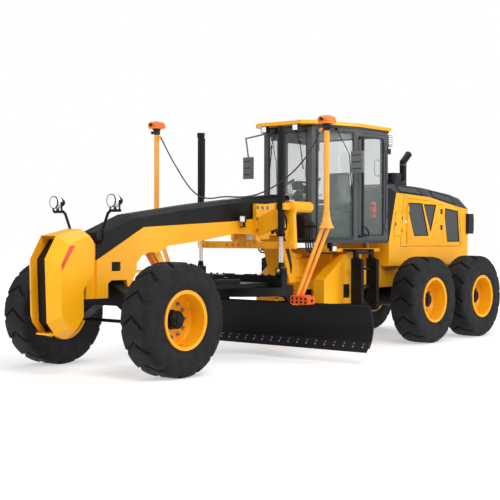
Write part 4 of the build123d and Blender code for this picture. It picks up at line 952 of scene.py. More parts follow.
class GRADER_OT_beam_fittings(bpy.types.Operator):
    """Neck lamps, bare plate, bolts and hydraulic pipes along the main beam and its saddle"""
    bl_idname = "grader.beam_fittings"
    bl_label = "Beam and saddle fittings"

    cheek = 0.235
    # bolts as (x from the lift cylinders, z)
    cheek_bolts = ((-0.113, 2.06), (-0.223, 2.06), (-0.333, 2.06), (-0.403, 1.95), (-0.103, 1.90),
                   (-0.103, 1.74), (-0.343, 1.74))
    link_front = LIFT.x - 0.105
    tube_out = 0.821

    def execute(self, context):
        for name, side in SIDES:
            with piece(f"saddle_bolts_{name}", "front_frame", zinc_plate) as bm:
                bolts = [(LIFT.x + x, side * self.cheek, z) for x, z in self.cheek_bolts]
                for at in bolts:
                    cylinder(bm, at, (at[0], at[1] + side * 0.004, at[2]), 0.026, sides=20)
                bolt_heads(bm, bolts, (0, side, 0), 0.034, 0.020)
            with piece(f"bearing_caps_{name}", "front_frame", yellow_enamel) as bm:
                # caps on both ends of the bearing tube, and on the cylinder's cross pin
                for x, way in ((LIFT.x - 0.090, 1), (LIFT.x - 0.530, -1)):
                    lathe(bm, ((0.0, 0.010), (0.040, 0.010), (0.046, 0.002), (0.066, 0.002), (0.072, -0.004)),
                          (x, side * self.tube_out, LIFT.z), (way, 0, 0), 36)
                lathe(bm, ((0.0, 0.012), (0.012, 0.012), (0.014, 0.003), (0.034, 0.003), (0.036, -0.002)),
                      (LIFT.x, side * (LIFT.y + 0.0925), LIFT.z), (0, side, 0), 28)
            with piece(f"link_bar_rings_{name}", "front_frame", yellow_enamel) as bm:
                for step in range(1, 4):
                    lathe(bm, ((0.0225, 0.0), (0.0225, 0.003), (0.033, 0.002), (0.034, -0.001)),
                          (self.link_front, side * step * 0.110, 1.535), (1, 0, 0), 24)
                bolt_heads(bm, [(self.link_front, side * y, z)
                                for y, z in ((0.60, 1.535), (0.86, 1.56), (0.80, 1.52))], (1, 0, 0), 0.036,
                           0.02)
            self.neck_lamp(name, side)
            self.pipes(name, side)
        with piece("bare_plate", "front_frame", white_enamel) as bm:
            mark = [(0.013, 1.715), (0.119, 1.720), (0.183, 1.607), (0.049, 1.612)]
            plate(bm, [(self.link_front + 0.003, y, z) for y, z in mark[::-1]], 0.004)
        return {"FINISHED"}

    def neck_lamp(self, name, side):
        centre = Vector((LIFT.x + 0.230, side * 0.250, 1.892))
        square_lamp(f"neck_lamp_{name}", "front_frame", centre, (1, side * 0.5, 0), 0.085, 0.095, 0.06)
        with piece(f"neck_lamp_arm_{name}", "front_frame", black_enamel, 0.002) as bm:
            low = centre + Vector((-0.05, -0.012, -0.115))
            box(bm, low, low + Vector((0.03, 0.024, 0.09)))
            box(bm, (low.x, side * 0.170, low.z), (low.x + 0.03, centre.y + side * 0.012, low.z + 0.012))

    def pipes(self, name, side):
        """Steel pipes clipped along the beam's foot, from the saddle back to the articulation joint."""
        for step in range(3):
            out = 0.190 + 0.004 * step
            line = ((LIFT.x - 0.350, out, 1.740), (LIFT.x - 0.600, out, 1.745), (PIVOT + 0.640, out, 1.700),
                    (PIVOT + 0.470, out, 1.600), (PIVOT + 0.300, out - 0.01, 1.300),
                    (PIVOT + 0.270, out - 0.015, 1.120))
            points = [(x, side * y, z + 0.034 * step) for x, y, z in line]
            tube_curve(f"beam_pipe_{name}_{step}", points, 0.0115, "front_frame", hose_rubber)
        with piece(f"pipe_clips_{name}", "front_frame", black_enamel, 0.003) as bm:
            for x, z in ((LIFT.x - 0.52, 1.743), (PIVOT + 0.72, 1.715)):
                box(bm, (x - 0.012, side * 0.172, z - 0.025), (x + 0.012, side * 0.212, z + 0.100))


class GRADER_OT_cylinders(bpy.types.Operator):
    """Glands, ports and feed pipes of the blade lift cylinders, with their rod eyes' bushes"""
    bl_idname = "grader.cylinders"
    bl_label = "Lift cylinders"

    def execute(self, context):
        for name, side in SIDES:
            body = f"lift_barrel_{name}"
            low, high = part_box(body)
            y = side * LIFT.y
            foot = Vector((LIFT.x, y, low.z))
            with piece(f"cylinder_caps_{name}", body, black_enamel) as bm:
                gland = ((0.0325, 0.0), (0.050, 0.0), (0.056, 0.006), (0.056, 0.052), (0.053, 0.058),
                         (0.0475, 0.062))
                lathe(bm, gland, foot, UP, 40)
                for step in range(4):
                    ring = 0.012 + step * 0.010
                    lathe(bm, ((0.0555, ring), (0.0585, ring + 0.002), (0.0585, ring + 0.005),
                               (0.0555, ring + 0.007)), foot, UP, 40)
                lathe(bm, ((0.0, 0.002), (0.030, 0.002), (0.040, -0.004), (0.055, -0.008), (0.056, -0.06)),
                      (LIFT.x, y, high.z), UP, 40)
                bolt_heads(bm, ring_of((LIFT.x, y, high.z - 0.004), 0.04, 4, "z"), UP, 0.014, 0.006)
                for z in (low.z + 0.10, high.z - 0.09):
                    box(bm, (LIFT.x - 0.075, y - 0.018, z - 0.018), (LIFT.x - 0.040, y + 0.018, z + 0.018))
            # a pipe from each port to the hoses at the trunnion, as (behind the axis, height)
            lines = ((0.018, ((0.070, low.z + 0.10), (0.092, low.z + 0.10), (0.096, low.z + 0.15),
                              (0.096, LIFT.z - 0.18), (0.080, LIFT.z - 0.14), (0.048, LIFT.z - 0.12))),
                     (-0.018, ((0.070, high.z - 0.09), (0.092, high.z - 0.09), (0.096, high.z - 0.14),
                               (0.096, LIFT.z + 0.16), (0.080, LIFT.z + 0.13), (0.050, LIFT.z + 0.12))))
            for number, (out, line) in enumerate(lines):
                points = [(LIFT.x - back, y + out, z) for back, z in line]
                tube_curve(f"cylinder_pipe_{name}_{number}", points, 0.010, body, black_enamel)
            with piece(f"rod_eye_{name}", f"lift_rod_{name}", black_enamel) as bm:
                eye = (LIFT.x, y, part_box(f"lift_rod_{name}")[0].z + 0.072)
                for way in (-1, 1):
                    lathe(bm, ((0.047, 0.0), (0.049, 0.004), (0.062, 0.004), (0.066, 0.0)),
                          (eye[0], eye[1] + way * 0.025, eye[2]), (0, way, 0), 32)
                cylinder(bm, (eye[0], y, eye[2] + 0.064), (eye[0], y, eye[2] + 0.135), 0.046, 0.034, 32)
        return {"FINISHED"}


class GRADER_OT_circle_gear(bpy.types.Operator):
    """Teeth inside the circle, its guide shoes, the drive gearbox and the drawbar's fittings"""
    bl_idname = "grader.circle_gear"
    bl_label = "Circle gear"

    teeth = 64
    ring = 0.630
    middle = joint_place("circle_turn").z
    drawbar_top = 1.028
    shoe_angles = (35, 145, 215, 325)

    def execute(self, context):
        with piece("circle_teeth", "circle", wear_steel) as bm:
            for step in range(self.teeth):
                turn = Matrix.Rotation(math.tau * step / self.teeth, 4, "Z")
                tooth = [(self.ring - 0.024, -0.009), (self.ring + 0.004, -0.017), (self.ring + 0.004, 0.017),
                         (self.ring - 0.024, 0.009)]
                start = len(bm.verts)
                prism(bm, tooth, self.middle - 0.050, 0.100, "z")
                bm.verts.ensure_lookup_table()
                for vert in bm.verts[start:]:
                    vert.co = Vector((CIRCLE, 0, 0)) + turn @ vert.co
        with piece("circle_shoes", "circle", black_enamel) as bm:
            for angle in self.shoe_angles:
                a = math.radians(angle)
                spot = Vector((CIRCLE + 0.70 * math.cos(a), 0.70 * math.sin(a), 0.961))
                cylinder(bm, spot, spot + UP * 0.006, 0.05)
            bolt_heads(bm, [(CIRCLE + x, y, 0.812) for x in (-0.16, 0.0) for y in (-0.645, 0.645)],
                       (0, 0, -1), 0.03, 0.012)
        self.gearbox()
        self.drawbar()
        return {"FINISHED"}

    def gearbox(self):
        centre = Vector((CIRCLE + 0.475, 0, self.drawbar_top))
        with piece("circle_gearbox", "drawbar", black_enamel, 0.0) as bm:
            case = ((0.150, -0.002), (0.150, 0.018), (0.132, 0.024), (0.132, 0.050), (0.122, 0.060),
                    (0.092, 0.064), (0.086, 0.068), (0.086, 0.100), (0.060, 0.104), (0.0, 0.104))
            lathe(bm, case, centre, UP, 48)
            bolt_heads(bm, ring_of(centre + UP * 0.016, 0.140, 10, "z"), UP, 0.022, 0.012)
            box(bm, centre + Vector((-0.05, -0.16, 0.030)), centre + Vector((0.05, -0.08, 0.090)))

    def drawbar(self):
        """Stiffening rails on the A-frame's legs, bolts on its crossbeam and caps on its lift pins."""
        ball = joint_place("drawbar_lift").x
        with piece("drawbar_rails", "drawbar", black_enamel, 0.004) as bm:
            for side in (-1, 1):
                start = Vector((ball - 0.16, side * 0.105, self.drawbar_top))
                end = Vector((CIRCLE + 0.66, side * 0.545, self.drawbar_top))
                way = (end - start).normalized()
                across = Vector((-way.y, way.x, 0)) * 0.028
                corners = [start - across, end - across, end + across, start + across]
                plate(bm, corners, 0.055)
                places = [(LIFT.x, side * y, 1.120) for y in (0.30, 0.42, 0.54)]
                bolt_heads(bm, places, UP, 0.032, 0.018)
                box(bm, (LIFT.x - 0.045, side * 0.18 - 0.06, 1.118),
                    (LIFT.x + 0.045, side * 0.18 + 0.06, 1.132))
        with piece("lift_pin_caps", "drawbar", black_enamel) as bm:
            for side in (-1, 1):
                lathe(bm, ((0.0, 0.014), (0.018, 0.014), (0.024, 0.004), (0.044, 0.004), (0.046, -0.002)),
                      (LIFT.x, side * (LIFT.y + 0.056), 1.165), (0, side, 0), 28)


class GRADER_OT_blade_fittings(bpy.types.Operator):
    """Bolts along the cutting edge, wear plates on its ends and clamps on the blade's rails"""
    bl_idname = "grader.blade_fittings"
    bl_label = "Blade fittings"

    pitch = 0.152
    rows = (0.072, 0.118)
    arc = 0.430
    edge_below = 0.060
    edge_thick = 0.020

    def execute(self, context):
        low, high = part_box("mouldboard")
        foot_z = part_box("cutting_edge")[0].z
        slope = math.asin((high.z - low.z) / 2 / self.arc)
        up = Vector((-math.sin(slope), 0, math.cos(slope)))
        out = Vector((math.cos(slope), 0, math.sin(slope)))
        foot = Vector((CIRCLE - 0.030 + self.edge_below * math.tan(slope), 0, foot_z))
        with piece("edge_bolts", "mouldboard", zinc_plate) as bm:
            count = int((high.y - low.y) / self.pitch)
            for step in range(count):
                y = (step - (count - 1) / 2) * self.pitch
                for row in self.rows:
                    spot = foot + up * row + out * self.edge_thick + Vector((0, y, 0))
                    cylinder(bm, spot - out * 0.004, spot + out * 0.004, 0.015, 0.011, 12)
        with piece("edge_ends", "mouldboard", wear_steel) as bm:
            for y in (low.y + 0.001, high.y - 0.001):
                corners = [foot + up * a + out * b + Vector((0, y, 0)) for a, b in
                           ((0.01, 0.004), (0.150, 0.004), (0.150, 0.019), (0.01, 0.019))]
                plate(bm, corners if y < 0 else corners[::-1], 0.0008)
        with piece("rail_clamps", "blade_carrier", black_enamel, 0.003) as bm:
            back = CIRCLE - 0.330
            for z in (0.300, 0.640):
                for y in (-0.45, 0.45):
                    box(bm, (back + 0.058, y - 0.09, z - 0.045), (back + 0.088, y + 0.09, z - 0.030))
                    box(bm, (back + 0.058, y - 0.09, z + 0.030), (back + 0.088, y + 0.09, z + 0.045))
        return {"FINISHED"}


class GRADER_OT_mast_fittings(bpy.types.Operator):
    """Bolted feet, skirts and collars of the receiver masts, with the receivers' mouldings"""
    bl_idname = "grader.mast_fittings"
    bl_label = "Mast fittings"

    foot_y = (1.030, 1.330)
    foot_z = (0.754, 0.858)

    def execute(self, context):
        for name, side in SIDES:
            y = side * MAST.y
            self.foot(name, side)
            with piece(f"mast_skirt_{name}", "mouldboard", orange_powder_coat) as bm:
                skirt = ((0.0, 0.0), (0.098, 0.0), (0.104, 0.006), (0.102, 0.024), (0.088, 0.034),
                         (0.080, 0.050))
                lathe(bm, skirt, (MAST.x, y, 1.758), UP, 6)
                collar = ((0.0375, 0.0), (0.045, 0.003), (0.045, 0.040), (0.0375, 0.044))
                lathe(bm, collar, (MAST.x, y, 1.945), UP, 32)
            self.receiver(name, side, y)
        return {"FINISHED"}

    def foot(self, name, side):
        y0, y1 = sorted(side * y for y in self.foot_y)
        z0, z1 = self.foot_z
        with piece(f"mast_foot_{name}", "mouldboard", orange_casting, 0.008) as bm:
            box(bm, (MAST.x - 0.075, y0, z0), (MAST.x + 0.075, y1, z1))
            box(bm, (MAST.x - 0.085, y0 + 0.03, z1 - 0.004), (MAST.x + 0.085, y1 - 0.07, z1 + 0.016))
        with piece(f"mast_foot_bolts_{name}", "mouldboard", black_enamel) as bm:
            places = [(MAST.x + 0.075, y0 + share * (y1 - y0), z) for share in (0.14, 0.38, 0.62, 0.86)
                      for z in (z0 + 0.028, z1 - 0.028)]
            bolt_heads(bm, places, (1, 0, 0), 0.026, 0.014)
            bolt_heads(bm, [(x, y0 + 0.06, z1 + 0.014) for x in (MAST.x - 0.05, MAST.x + 0.05)], UP, 0.022,
                       0.012)
            bolt_heads(bm, [(MAST.x, y1 if side > 0 else y0, (z0 + z1) / 2)], (0, side, 0), 0.030, 0.014)

    def receiver(self, name, side, y):
        top = 3.120 if side > 0 else 3.258
        with piece(f"receiver_clamp_{name}", "mouldboard", moulded_plastic, 0.002) as bm:
            collar = ((0.038, -0.090), (0.050, -0.086), (0.052, -0.020), (0.062, -0.014), (0.062, 0.002),
                      (0.038, 0.004))
            lathe(bm, collar, (MAST.x, y, top), UP, 32)
            for x in (-0.105, 0.112):
                cylinder(bm, (MAST.x + x, y, top + 0.050), (MAST.x + x * 1.32, y, top + 0.062), 0.022,
                         0.018, 20)
            cylinder(bm, (MAST.x, y + side * 0.052, top - 0.052), (MAST.x, y + side * 0.095, top - 0.052),
                     0.009, sides=12)
            cylinder(bm, (MAST.x, y + side * 0.088, top - 0.052), (MAST.x, y + side * 0.104, top - 0.052),
                     0.024, sides=8)
        with piece(f"receiver_seams_{name}", "mouldboard", orange_casting, 0.003) as bm:
            # raised cover with a seam, wider than the housing all round
            for low, high in ((0.028, 0.036), (0.060, 0.067)):
                outline = [(MAST.x - 0.112, -0.079), (MAST.x + 0.112, -0.079), (MAST.x + 0.112, 0.079),
                           (MAST.x - 0.112, 0.079)]
                prism(bm, [(x, y + w) for x, w in outline], top + low, high - low, "z")


class GRADER_OT_cab_trim(bpy.types.Operator):
    """Window seals, wipers, sill, headliner, roof rail and lamps outside the cab"""
    bl_idname = "grader.cab_trim"
    bl_label = "Cab trim"

    low = 1.621
    high = 3.215
    post = 0.080

    def execute(self, context):
        self.seals()
        self.sill()
        self.roof()
        self.wipers()
        self.lamps()
        self.mirrors()
        self.rails()
        return {"FINISHED"}

    def slant(self, side, z, margin):
        """Place on the slanted side, margin in from its front post or, if negative, from its middle one."""
        front = Vector((CAB, side * CAB_FRONT_HALF, z))
        middle = Vector((CAB_MID, side * CAB_HALF, z))
        way = (middle - front).normalized()
        return front + way * margin if margin >= 0 else middle + way * margin

    def slant_pane(self, side):
        spots = [self.slant(side, self.low, self.post), self.slant(side, self.low, -self.post),
                 self.slant(side, self.high, -self.post), self.slant(side, self.high, self.post)]
        return spots if side < 0 else spots[::-1]

    def seals(self):
        """Rubber round the windows, the moulding over the windscreen's foot and the tint over its top."""
        half = CAB_FRONT_HALF - self.post
        with piece("window_seals", "rear_frame", hose_rubber, 0.004) as bm:
            border(bm, pane_across(CAB, half, self.low, self.high), 0.026, 0.020, -0.018)
            for side in (-1, 1):
                border(bm, self.slant_pane(side), 0.026, 0.020, -0.018)
            border(bm, pane_across(CAB_REAR, 0.110 - CAB_HALF, 2.150, self.high), 0.026, 0.018, -0.016)
        with piece("windscreen_foot", "rear_frame", moulded_plastic, 0.003) as bm:
            plate(bm, pane_across(CAB - 0.018, half - 0.024, 1.640, 1.975), 0.010)
            plate(bm, pane_across(CAB - 0.038, half - 0.024, 3.090, self.high), 0.004)

    def sill(self):
        """Rubber strip round the cab's foot and a drip rail under its roof."""
        plan = [(CAB, -CAB_FRONT_HALF), (CAB, CAB_FRONT_HALF), (CAB_MID, CAB_HALF), (CAB_REAR, CAB_HALF),
                (CAB_REAR, -CAB_HALF), (CAB_MID, -CAB_HALF)]
        for name, z, tall, out in (("cab_sill_strip", CAB_FLOOR + 0.001, 0.044, 0.005),
                                   ("cab_drip_rail", CAB_TOP - 0.030, 0.026, 0.012)):
            with piece(name, "rear_frame", hose_rubber, 0.003) as bm:
                outer = [(x + (out if x > CAB_MID else -out if x < CAB_MID else 0),
                          y + math.copysign(out, y)) for x, y in plan]
                rings = [[bm.verts.new((x, y, height)) for x, y in line] for line, height in (
                    (plan, z), (outer, z), (outer, z + tall), (plan, z + tall))]
                skin(bm, rings + rings[:1])

    def roof(self):
        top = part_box("cab_roof")[1].z
        with piece("roof_field", "rear_frame", yellow_enamel, 0.010) as bm:
            # shallow raised field; its plan goes down the left side and back up the right one
            half = ((CAB + 0.10, 0.34), (CAB - 0.02, 0.47), (CAB_MID, CAB_HALF - 0.06),
                    (CAB_REAR + 0.06, CAB_HALF - 0.06))
            plan = [*half, *((x, -y) for x, y in half[::-1])]
            prism(bm, plan, top - 0.004, 0.016, "z")
        with piece("roof_fittings", "rear_frame", black_enamel) as bm:
            places = [(x, y, top) for x in (CAB + 0.14, CAB_REAR - 0.01) for y in (-0.30, 0.30)]
            bolt_heads(bm, places, UP, 0.024, 0.012)
            aerial = ((0.0, 0.020), (0.016, 0.020), (0.020, 0.006), (0.034, 0.0))
            lathe(bm, aerial, (CAB_REAR + 0.25, -0.45, top + 0.011), UP, 24)
        with piece("headliner", "rear_frame", grey_powder_coat, 0.01) as bm:
            prism(bm, inside_plan(), CAB_TOP - 0.075, 0.045, "z")

    def wipers(self):
        with piece("wipers", "rear_frame", black_enamel) as bm:
            # (y, z) of the pivot, the elbow and the blade's ends on the windscreen
            arms = (((-0.200, 3.240), (-0.330, 2.900), (-0.290, 3.020), (-0.345, 2.560)),
                    ((0.160, 3.240), (0.260, 2.980), (0.230, 3.060), (0.300, 2.640)))
            for pivot, elbow, top, foot in arms:
                pivot, elbow = (CAB + 0.012, *pivot), (CAB + 0.030, *elbow)
                lathe(bm, ((0.0, 0.022), (0.016, 0.022), (0.022, 0.012), (0.024, -0.004)), pivot, (1, 0, 0),
                      24)
                cylinder(bm, pivot, elbow, 0.0065, 0.005, 10)
                ends = [Vector((CAB + 0.006, y, z)) for y, z in (top, foot)]
                cylinder(bm, ends[0], ends[1], 0.007, sides=10)
                cylinder(bm, elbow, (ends[0] + ends[1]) / 2, 0.004, sides=8)
                cylinder(bm, elbow, ends[0].lerp(ends[1], 0.25), 0.004, sides=8)
            for side in (-1, 1):
                out = Vector((CAB_HALF - CAB_FRONT_HALF, side * (CAB - CAB_MID), 0)).normalized()
                pivot = self.slant(side, 3.238, 0.42) + out * 0.014
                foot = self.slant(side, 2.300, -0.12) + out * 0.010
                top = self.slant(side, 2.860, -0.17) + out * 0.010
                lathe(bm, ((0.0, 0.016), (0.014, 0.016), (0.020, -0.012)), pivot, out, 20)
                cylinder(bm, pivot, top + out * 0.012, 0.006, sides=10)
                cylinder(bm, top, foot, 0.007, sides=10)

    def lamps(self):
        """Square lamps under the roof's front, lamps on its rear corners, and a beacon box under each."""
        for name, side in SIDES:
            front = (CAB + 0.1955, side * 0.293, CAB_TOP - 0.050)
            with piece(f"roof_lamp_bezel_{name}", "rear_frame", moulded_plastic, 0.002) as bm:
                border(bm, rectangle(front, (1, 0, 0), 0.104, 0.094), 0.008, 0.010, -0.002)
            with piece(f"roof_lamp_lens_{name}", "rear_frame", clear_lens, 0.003) as bm:
                plate(bm, rectangle(front, (1, 0, 0), 0.092, 0.082), 0.006)
            outer = (Vector((CAB_REAR - 0.055, side * 0.7505, CAB_TOP - 0.145)), (0, side, 0), 0.104)
            rear = (Vector((CAB_REAR - 0.1105, side * 0.700, CAB_TOP - 0.145)), (-1, 0, 0), 0.094)
            with piece(f"rear_lamp_bezel_{name}", "rear_frame", moulded_plastic, 0.002) as bm:
                for centre, facing, wide in (outer, rear):
                    border(bm, rectangle(centre, facing, wide, 0.164), 0.008, 0.010, -0.002)
            with piece(f"rear_lamp_lens_{name}", "rear_frame", clear_lens, 0.003) as bm:
                for centre, facing, wide in (outer, rear):
                    plate(bm, rectangle(centre, facing, wide - 0.012, 0.152), 0.006)
            with piece(f"rear_lamp_beads_{name}", "rear_frame", glass_screen) as bm:
                for row in range(4):
                    for column in (-0.026, 0.0, 0.026):
                        at = outer[0] + Vector((column, side * 0.004, -0.054 + 0.036 * row))
                        cylinder(bm, at, at + Vector((0, side * 0.005, 0)), 0.008, sides=12)
            with piece(f"rear_beacon_{name}", "rear_frame", moulded_plastic, 0.010) as bm:
                foot = Vector((CAB_REAR - 0.060, side * 0.700, CAB_TOP - 0.265))
                box(bm, foot + Vector((-0.040, -0.045, -0.085)), foot + Vector((0.055, 0.045, 0.003)))
                cylinder(bm, foot, foot + UP * 0.037, 0.014, sides=16)

    def mirrors(self):
        """Panes, rims and vent slots of the two mirrors; the panes face the driver."""
        # centre of the pane, its width and height, and the slots' length
        left = (Vector((CAB_MID + 0.1515, CAB_HALF + 0.105, 2.7565)), (0.180, 0.290), (0.196, 0.306), 0.150)
        right = (Vector((CAB + 0.1745, -0.590, CAB_TOP - 0.6075)), (0.145, 0.300), (0.160, 0.315), 0.120)
        with piece("mirror_panes", "rear_frame", mirror_glass, 0.001) as bm:
            for centre, pane, rim, slot in (left, right):
                plate(bm, rectangle(centre, (-1, 0, 0), *pane), 0.003)
        with piece("mirror_rims", "rear_frame", moulded_plastic, 0.002) as bm:
            for centre, pane, rim, slot in (left, right):
                border(bm, rectangle(centre, (-1, 0, 0), *rim), 0.010, 0.006)
                for z in (-0.10, 0.0, 0.10):
                    at = centre + Vector((0.0515, 0, z))
                    plate(bm, rectangle(at, (1, 0, 0), slot, 0.012), 0.004)

    def rails(self):
        with piece("rail_feet", "rear_frame", black_enamel, 0.002) as bm:
            for side in (-1, 1):
                for z in (1.660, CAB_TOP - 0.160):
                    centre = Vector((CAB_MID - 0.025, side * CAB_HALF, z))
                    lathe(bm, ((0.0, 0.008), (0.018, 0.008), (0.026, 0.004), (0.027, -0.001)), centre,
                          (0, side, 0), 24)
                # hinge covers on the rear post
                for z in (1.95, 2.50, 3.00):
                    box(bm, (CAB_REAR + 0.008, side * CAB_HALF, z - 0.05),
                        (CAB_REAR + 0.040, side * (CAB_HALF + 0.006), z + 0.05))


class GRADER_OT_door_trim(bpy.types.Operator):
    """Glass seals, handles and pulls on the cab doors"""
    bl_idname = "grader.door_trim"
    bl_label = "Door trim"

    def execute(self, context):
        for name, side in SIDES:
            low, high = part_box(f"door_glass_{name}")
            body = f"door_{name}"
            face = side * CAB_HALF
            corners = [(low.x, face, low.z), (high.x, face, low.z), (high.x, face, high.z),
                       (low.x, face, high.z)]
            corners = corners[::-1] if side > 0 else corners
            with piece(f"door_seal_{name}", body, hose_rubber, 0.003) as bm:
                border(bm, corners, 0.018, 0.020, -0.018)
                inner = [(x, side * (CAB_HALF - 0.040), z) for x, _, z in corners][::-1]
                border(bm, inner, 0.016, 0.014, -0.012)
            self.handle(name, side, body, high.x)
            self.pull(name, side, body, low.x)
        return {"FINISHED"}

    def handle(self, name, side, body, front):
        """Loop handle that stands off the door's lower front corner."""
        near, out = CAB_HALF - 0.004, CAB_HALF + 0.030
        line = ((0.0, near, 1.800), (0.0, out, 1.798), (-0.020, out + 0.012, 1.790),
                (-0.085, out + 0.012, 1.735), (-0.105, out + 0.010, 1.690), (-0.085, out, 1.668),
                (-0.050, out, 1.672), (-0.010, out, 1.700), (0.0, near, 1.702))
        points = [(front + 0.014 + x, side * y, z) for x, y, z in line]
        tube_curve(f"door_handle_{name}", points, 0.014, body, moulded_plastic)
        with piece(f"door_lock_{name}", body, moulded_plastic, 0.004) as bm:
            box(bm, (front + 0.004, side * (CAB_HALF - 0.002), 1.655),
                (front + 0.036, side * (CAB_HALF + 0.010), 1.815))
            cylinder(bm, (front + 0.020, side * (CAB_HALF + 0.008), 1.675),
                     (front + 0.020, side * (CAB_HALF + 0.014), 1.675), 0.011, sides=20)

    def pull(self, name, side, body, rear):
        """Pale pull bar inside the door, bolted to its frame."""
        y = side * (CAB_HALF - 0.085)
        root = side * (CAB_HALF - 0.038)
        foot, reach = rear - 0.020, rear + 0.135
        points = [(foot, root, 2.835), (foot, y, 2.840), (foot + 0.05, y, 2.842), (reach - 0.01, y, 2.838),
                  (reach, y, 2.800), (reach, y, 2.720), (reach, y, 2.640), (reach - 0.01, y, 2.604),
                  (foot + 0.05, y, 2.598), (foot, y, 2.600), (foot, root, 2.605)]
        tube_curve(f"door_pull_{name}", points, 0.010, body, pale_moulding)


class GRADER_OT_hood_trim(bpy.types.Operator):
    """Window panels, seams, filler door, latches, top panels, tail lenses and stacks of the hood"""
    bl_idname = "grader.hood_trim"
    bl_label = "Hood trim"

    # window outlines as (x from the tandem's middle, z); the first two are in the hinged doors
    windows = (
        ((0.462, 2.215), (0.037, 2.215), (-0.168, 1.678), (0.286, 1.672), (0.483, 2.126)),
        ((-0.008, 2.202), (-0.415, 2.204), (-0.236, 1.737)),
        ((-0.708, 2.153), (-1.141, 2.114), (-1.209, 1.578), (-0.784, 1.578), (-0.700, 2.008)),
    )
    # grille's outer face behind the hood's side
    window_face = HOOD_HALF - 0.012
    seams = (
        ((0.585, 2.338), (0.687, 1.823), (0.704, 1.517)),
        ((0.704, 1.505), (0.512, 1.505)),
        ((-0.645, 1.505), (-1.285, 1.505)),
        ((-1.223, 2.130), (-1.223, 1.520)),
        ((-1.145, 2.164), (-1.307, 1.566), (-1.172, 1.544)),
    )
    fuel_door = ((0.859, 2.055), (0.651, 2.059), (0.686, 1.670), (0.912, 1.669))
    # heights of the hood top's side edge and ridge, as (x from the tandem's middle, z)
    edge = ((0.830, 2.360), (-0.195, 2.321), (-1.140, 2.185), (-1.730, 2.130))
    ridge = ((0.700, 2.515), (-0.195, 2.485), (-1.140, 2.400), (-1.500, 2.340))
    panel_ends = ((0.687, -0.033), (-0.363, -1.123))
    ridge_half = 0.430

    def execute(self, context):
        for name, side in SIDES:
            self.panels(name, side)
            self.lines(name, side)
            self.fuel(name, side)
            self.top_panels(name, side)
            self.tail(name, side)
        self.stacks()
        return {"FINISHED"}

    def on_side(self, outline, side, face=HOOD_HALF):
        """Corners on the hood's side, in the turn that faces out."""
        return [(TANDEM + x, side * face, z) for x, z in outline[::-side]]

    def panels(self, name, side):
        for number, outline in enumerate(self.windows):
            body = "rear_frame" if number == 2 else f"hood_door_{name}"
            corners = self.on_side(outline, side, self.window_face)
            with piece(f"window_sheet_{name}_{number}", body, perforated_sheet, 0.0, False) as bm:
                plate(bm, corners, 0.003, 0.0005)
            with piece(f"window_rim_{name}_{number}", body, black_enamel, 0.003) as bm:
                border(bm, corners, 0.014, 0.0145, 0.0)
        with piece(f"hood_latches_{name}", f"hood_door_{name}", moulded_plastic, 0.003) as bm:
            latch = Vector((TANDEM - 0.585, side * HOOD_HALF, 1.820))
            for up in (0.0, 0.270):
                at = latch + Vector((0, 0, up))
                plate(bm, rectangle(at, (0, side, 0), 0.060, 0.085), 0.006)
                plate(bm, rectangle(at, (0, side, 0), 0.036, 0.060), 0.014)

    def lines(self, name, side):
        """Rubber strips in the joints between the hood's panels."""
        with piece(f"hood_seams_{name}", "rear_frame", hose_rubber, 0.0, False) as bm:
            for line in self.seams:
                for (x0, z0), (x1, z1) in zip(line, line[1:]):
                    way = Vector((x1 - x0, 0, z1 - z0)).normalized()
                    across = Vector((-way.z, 0, way.x)) * 0.0035
                    ends = [Vector((TANDEM + x, side * HOOD_HALF, z)) for x, z in ((x0, z0), (x1, z1))]
                    corners = [ends[0] - across, ends[1] - across, ends[1] + across, ends[0] + across]
                    if normal_of(corners).y * side < 0:
                        corners = corners[::-1]
                    plate(bm, corners, 0.0025, -0.001)

    def fuel(self, name, side):
        corners = self.on_side(self.fuel_door, side)
        with piece(f"filler_door_{name}", "rear_frame", yellow_enamel, 0.003) as bm:
            plate(bm, corners, 0.006)
        with piece(f"filler_door_fittings_{name}", "rear_frame", moulded_plastic, 0.002) as bm:
            border(bm, corners, 0.005, 0.003, 0.0045)
            for z in (1.760, 1.960):
                at = Vector((TANDEM + 0.660 + (1.9 - z) * 0.08, side * HOOD_HALF, z))
                cylinder(bm, at + Vector((0, side * 0.006, -0.030)), at + Vector((0, side * 0.006, 0.030)),
                         0.008, sides=12)
            plate(bm, rectangle((TANDEM + 0.850, side * (HOOD_HALF + 0.006), 1.860), (0, side, 0), 0.022,
                                0.060), 0.006)
        with piece(f"side_cap_{name}", "rear_frame", pale_moulding) as bm:
            cap = ((0.0, 0.012), (0.018, 0.012), (0.024, 0.008), (0.030, 0.006), (0.032, -0.001))
            lathe(bm, cap, (TANDEM + 0.544, side * HOOD_HALF, 1.897), (0, side, 0), 28)

    def on_slope(self, x, share, side):
        """Place on the top's side slope: share 0 at its lower edge and 1 at its ridge."""
        low, high = along(self.edge, x), along(self.ridge, x)
        y = HOOD_HALF + (self.ridge_half - HOOD_HALF) * share
        return Vector((TANDEM + x, side * y, low + (high - low) * share))

    def top_panels(self, name, side):
        for number, (front, rear) in enumerate(self.panel_ends):
            spots = [self.on_slope(x, share, side) for x, share in
                     ((front, 0.14), (front - 0.05, 0.86), (rear + 0.05, 0.86), (rear, 0.14))]
            if normal_of(spots).z < 0:
                spots = spots[::-1]
            with piece(f"top_panel_{name}_{number}", "rear_frame", perforated_sheet, 0.002) as bm:
                plate(bm, spots, 0.006, -0.002)
            with piece(f"top_panel_rim_{name}_{number}", "rear_frame", black_enamel, 0.003) as bm:
                border(bm, spots, 0.016, 0.012, -0.002)

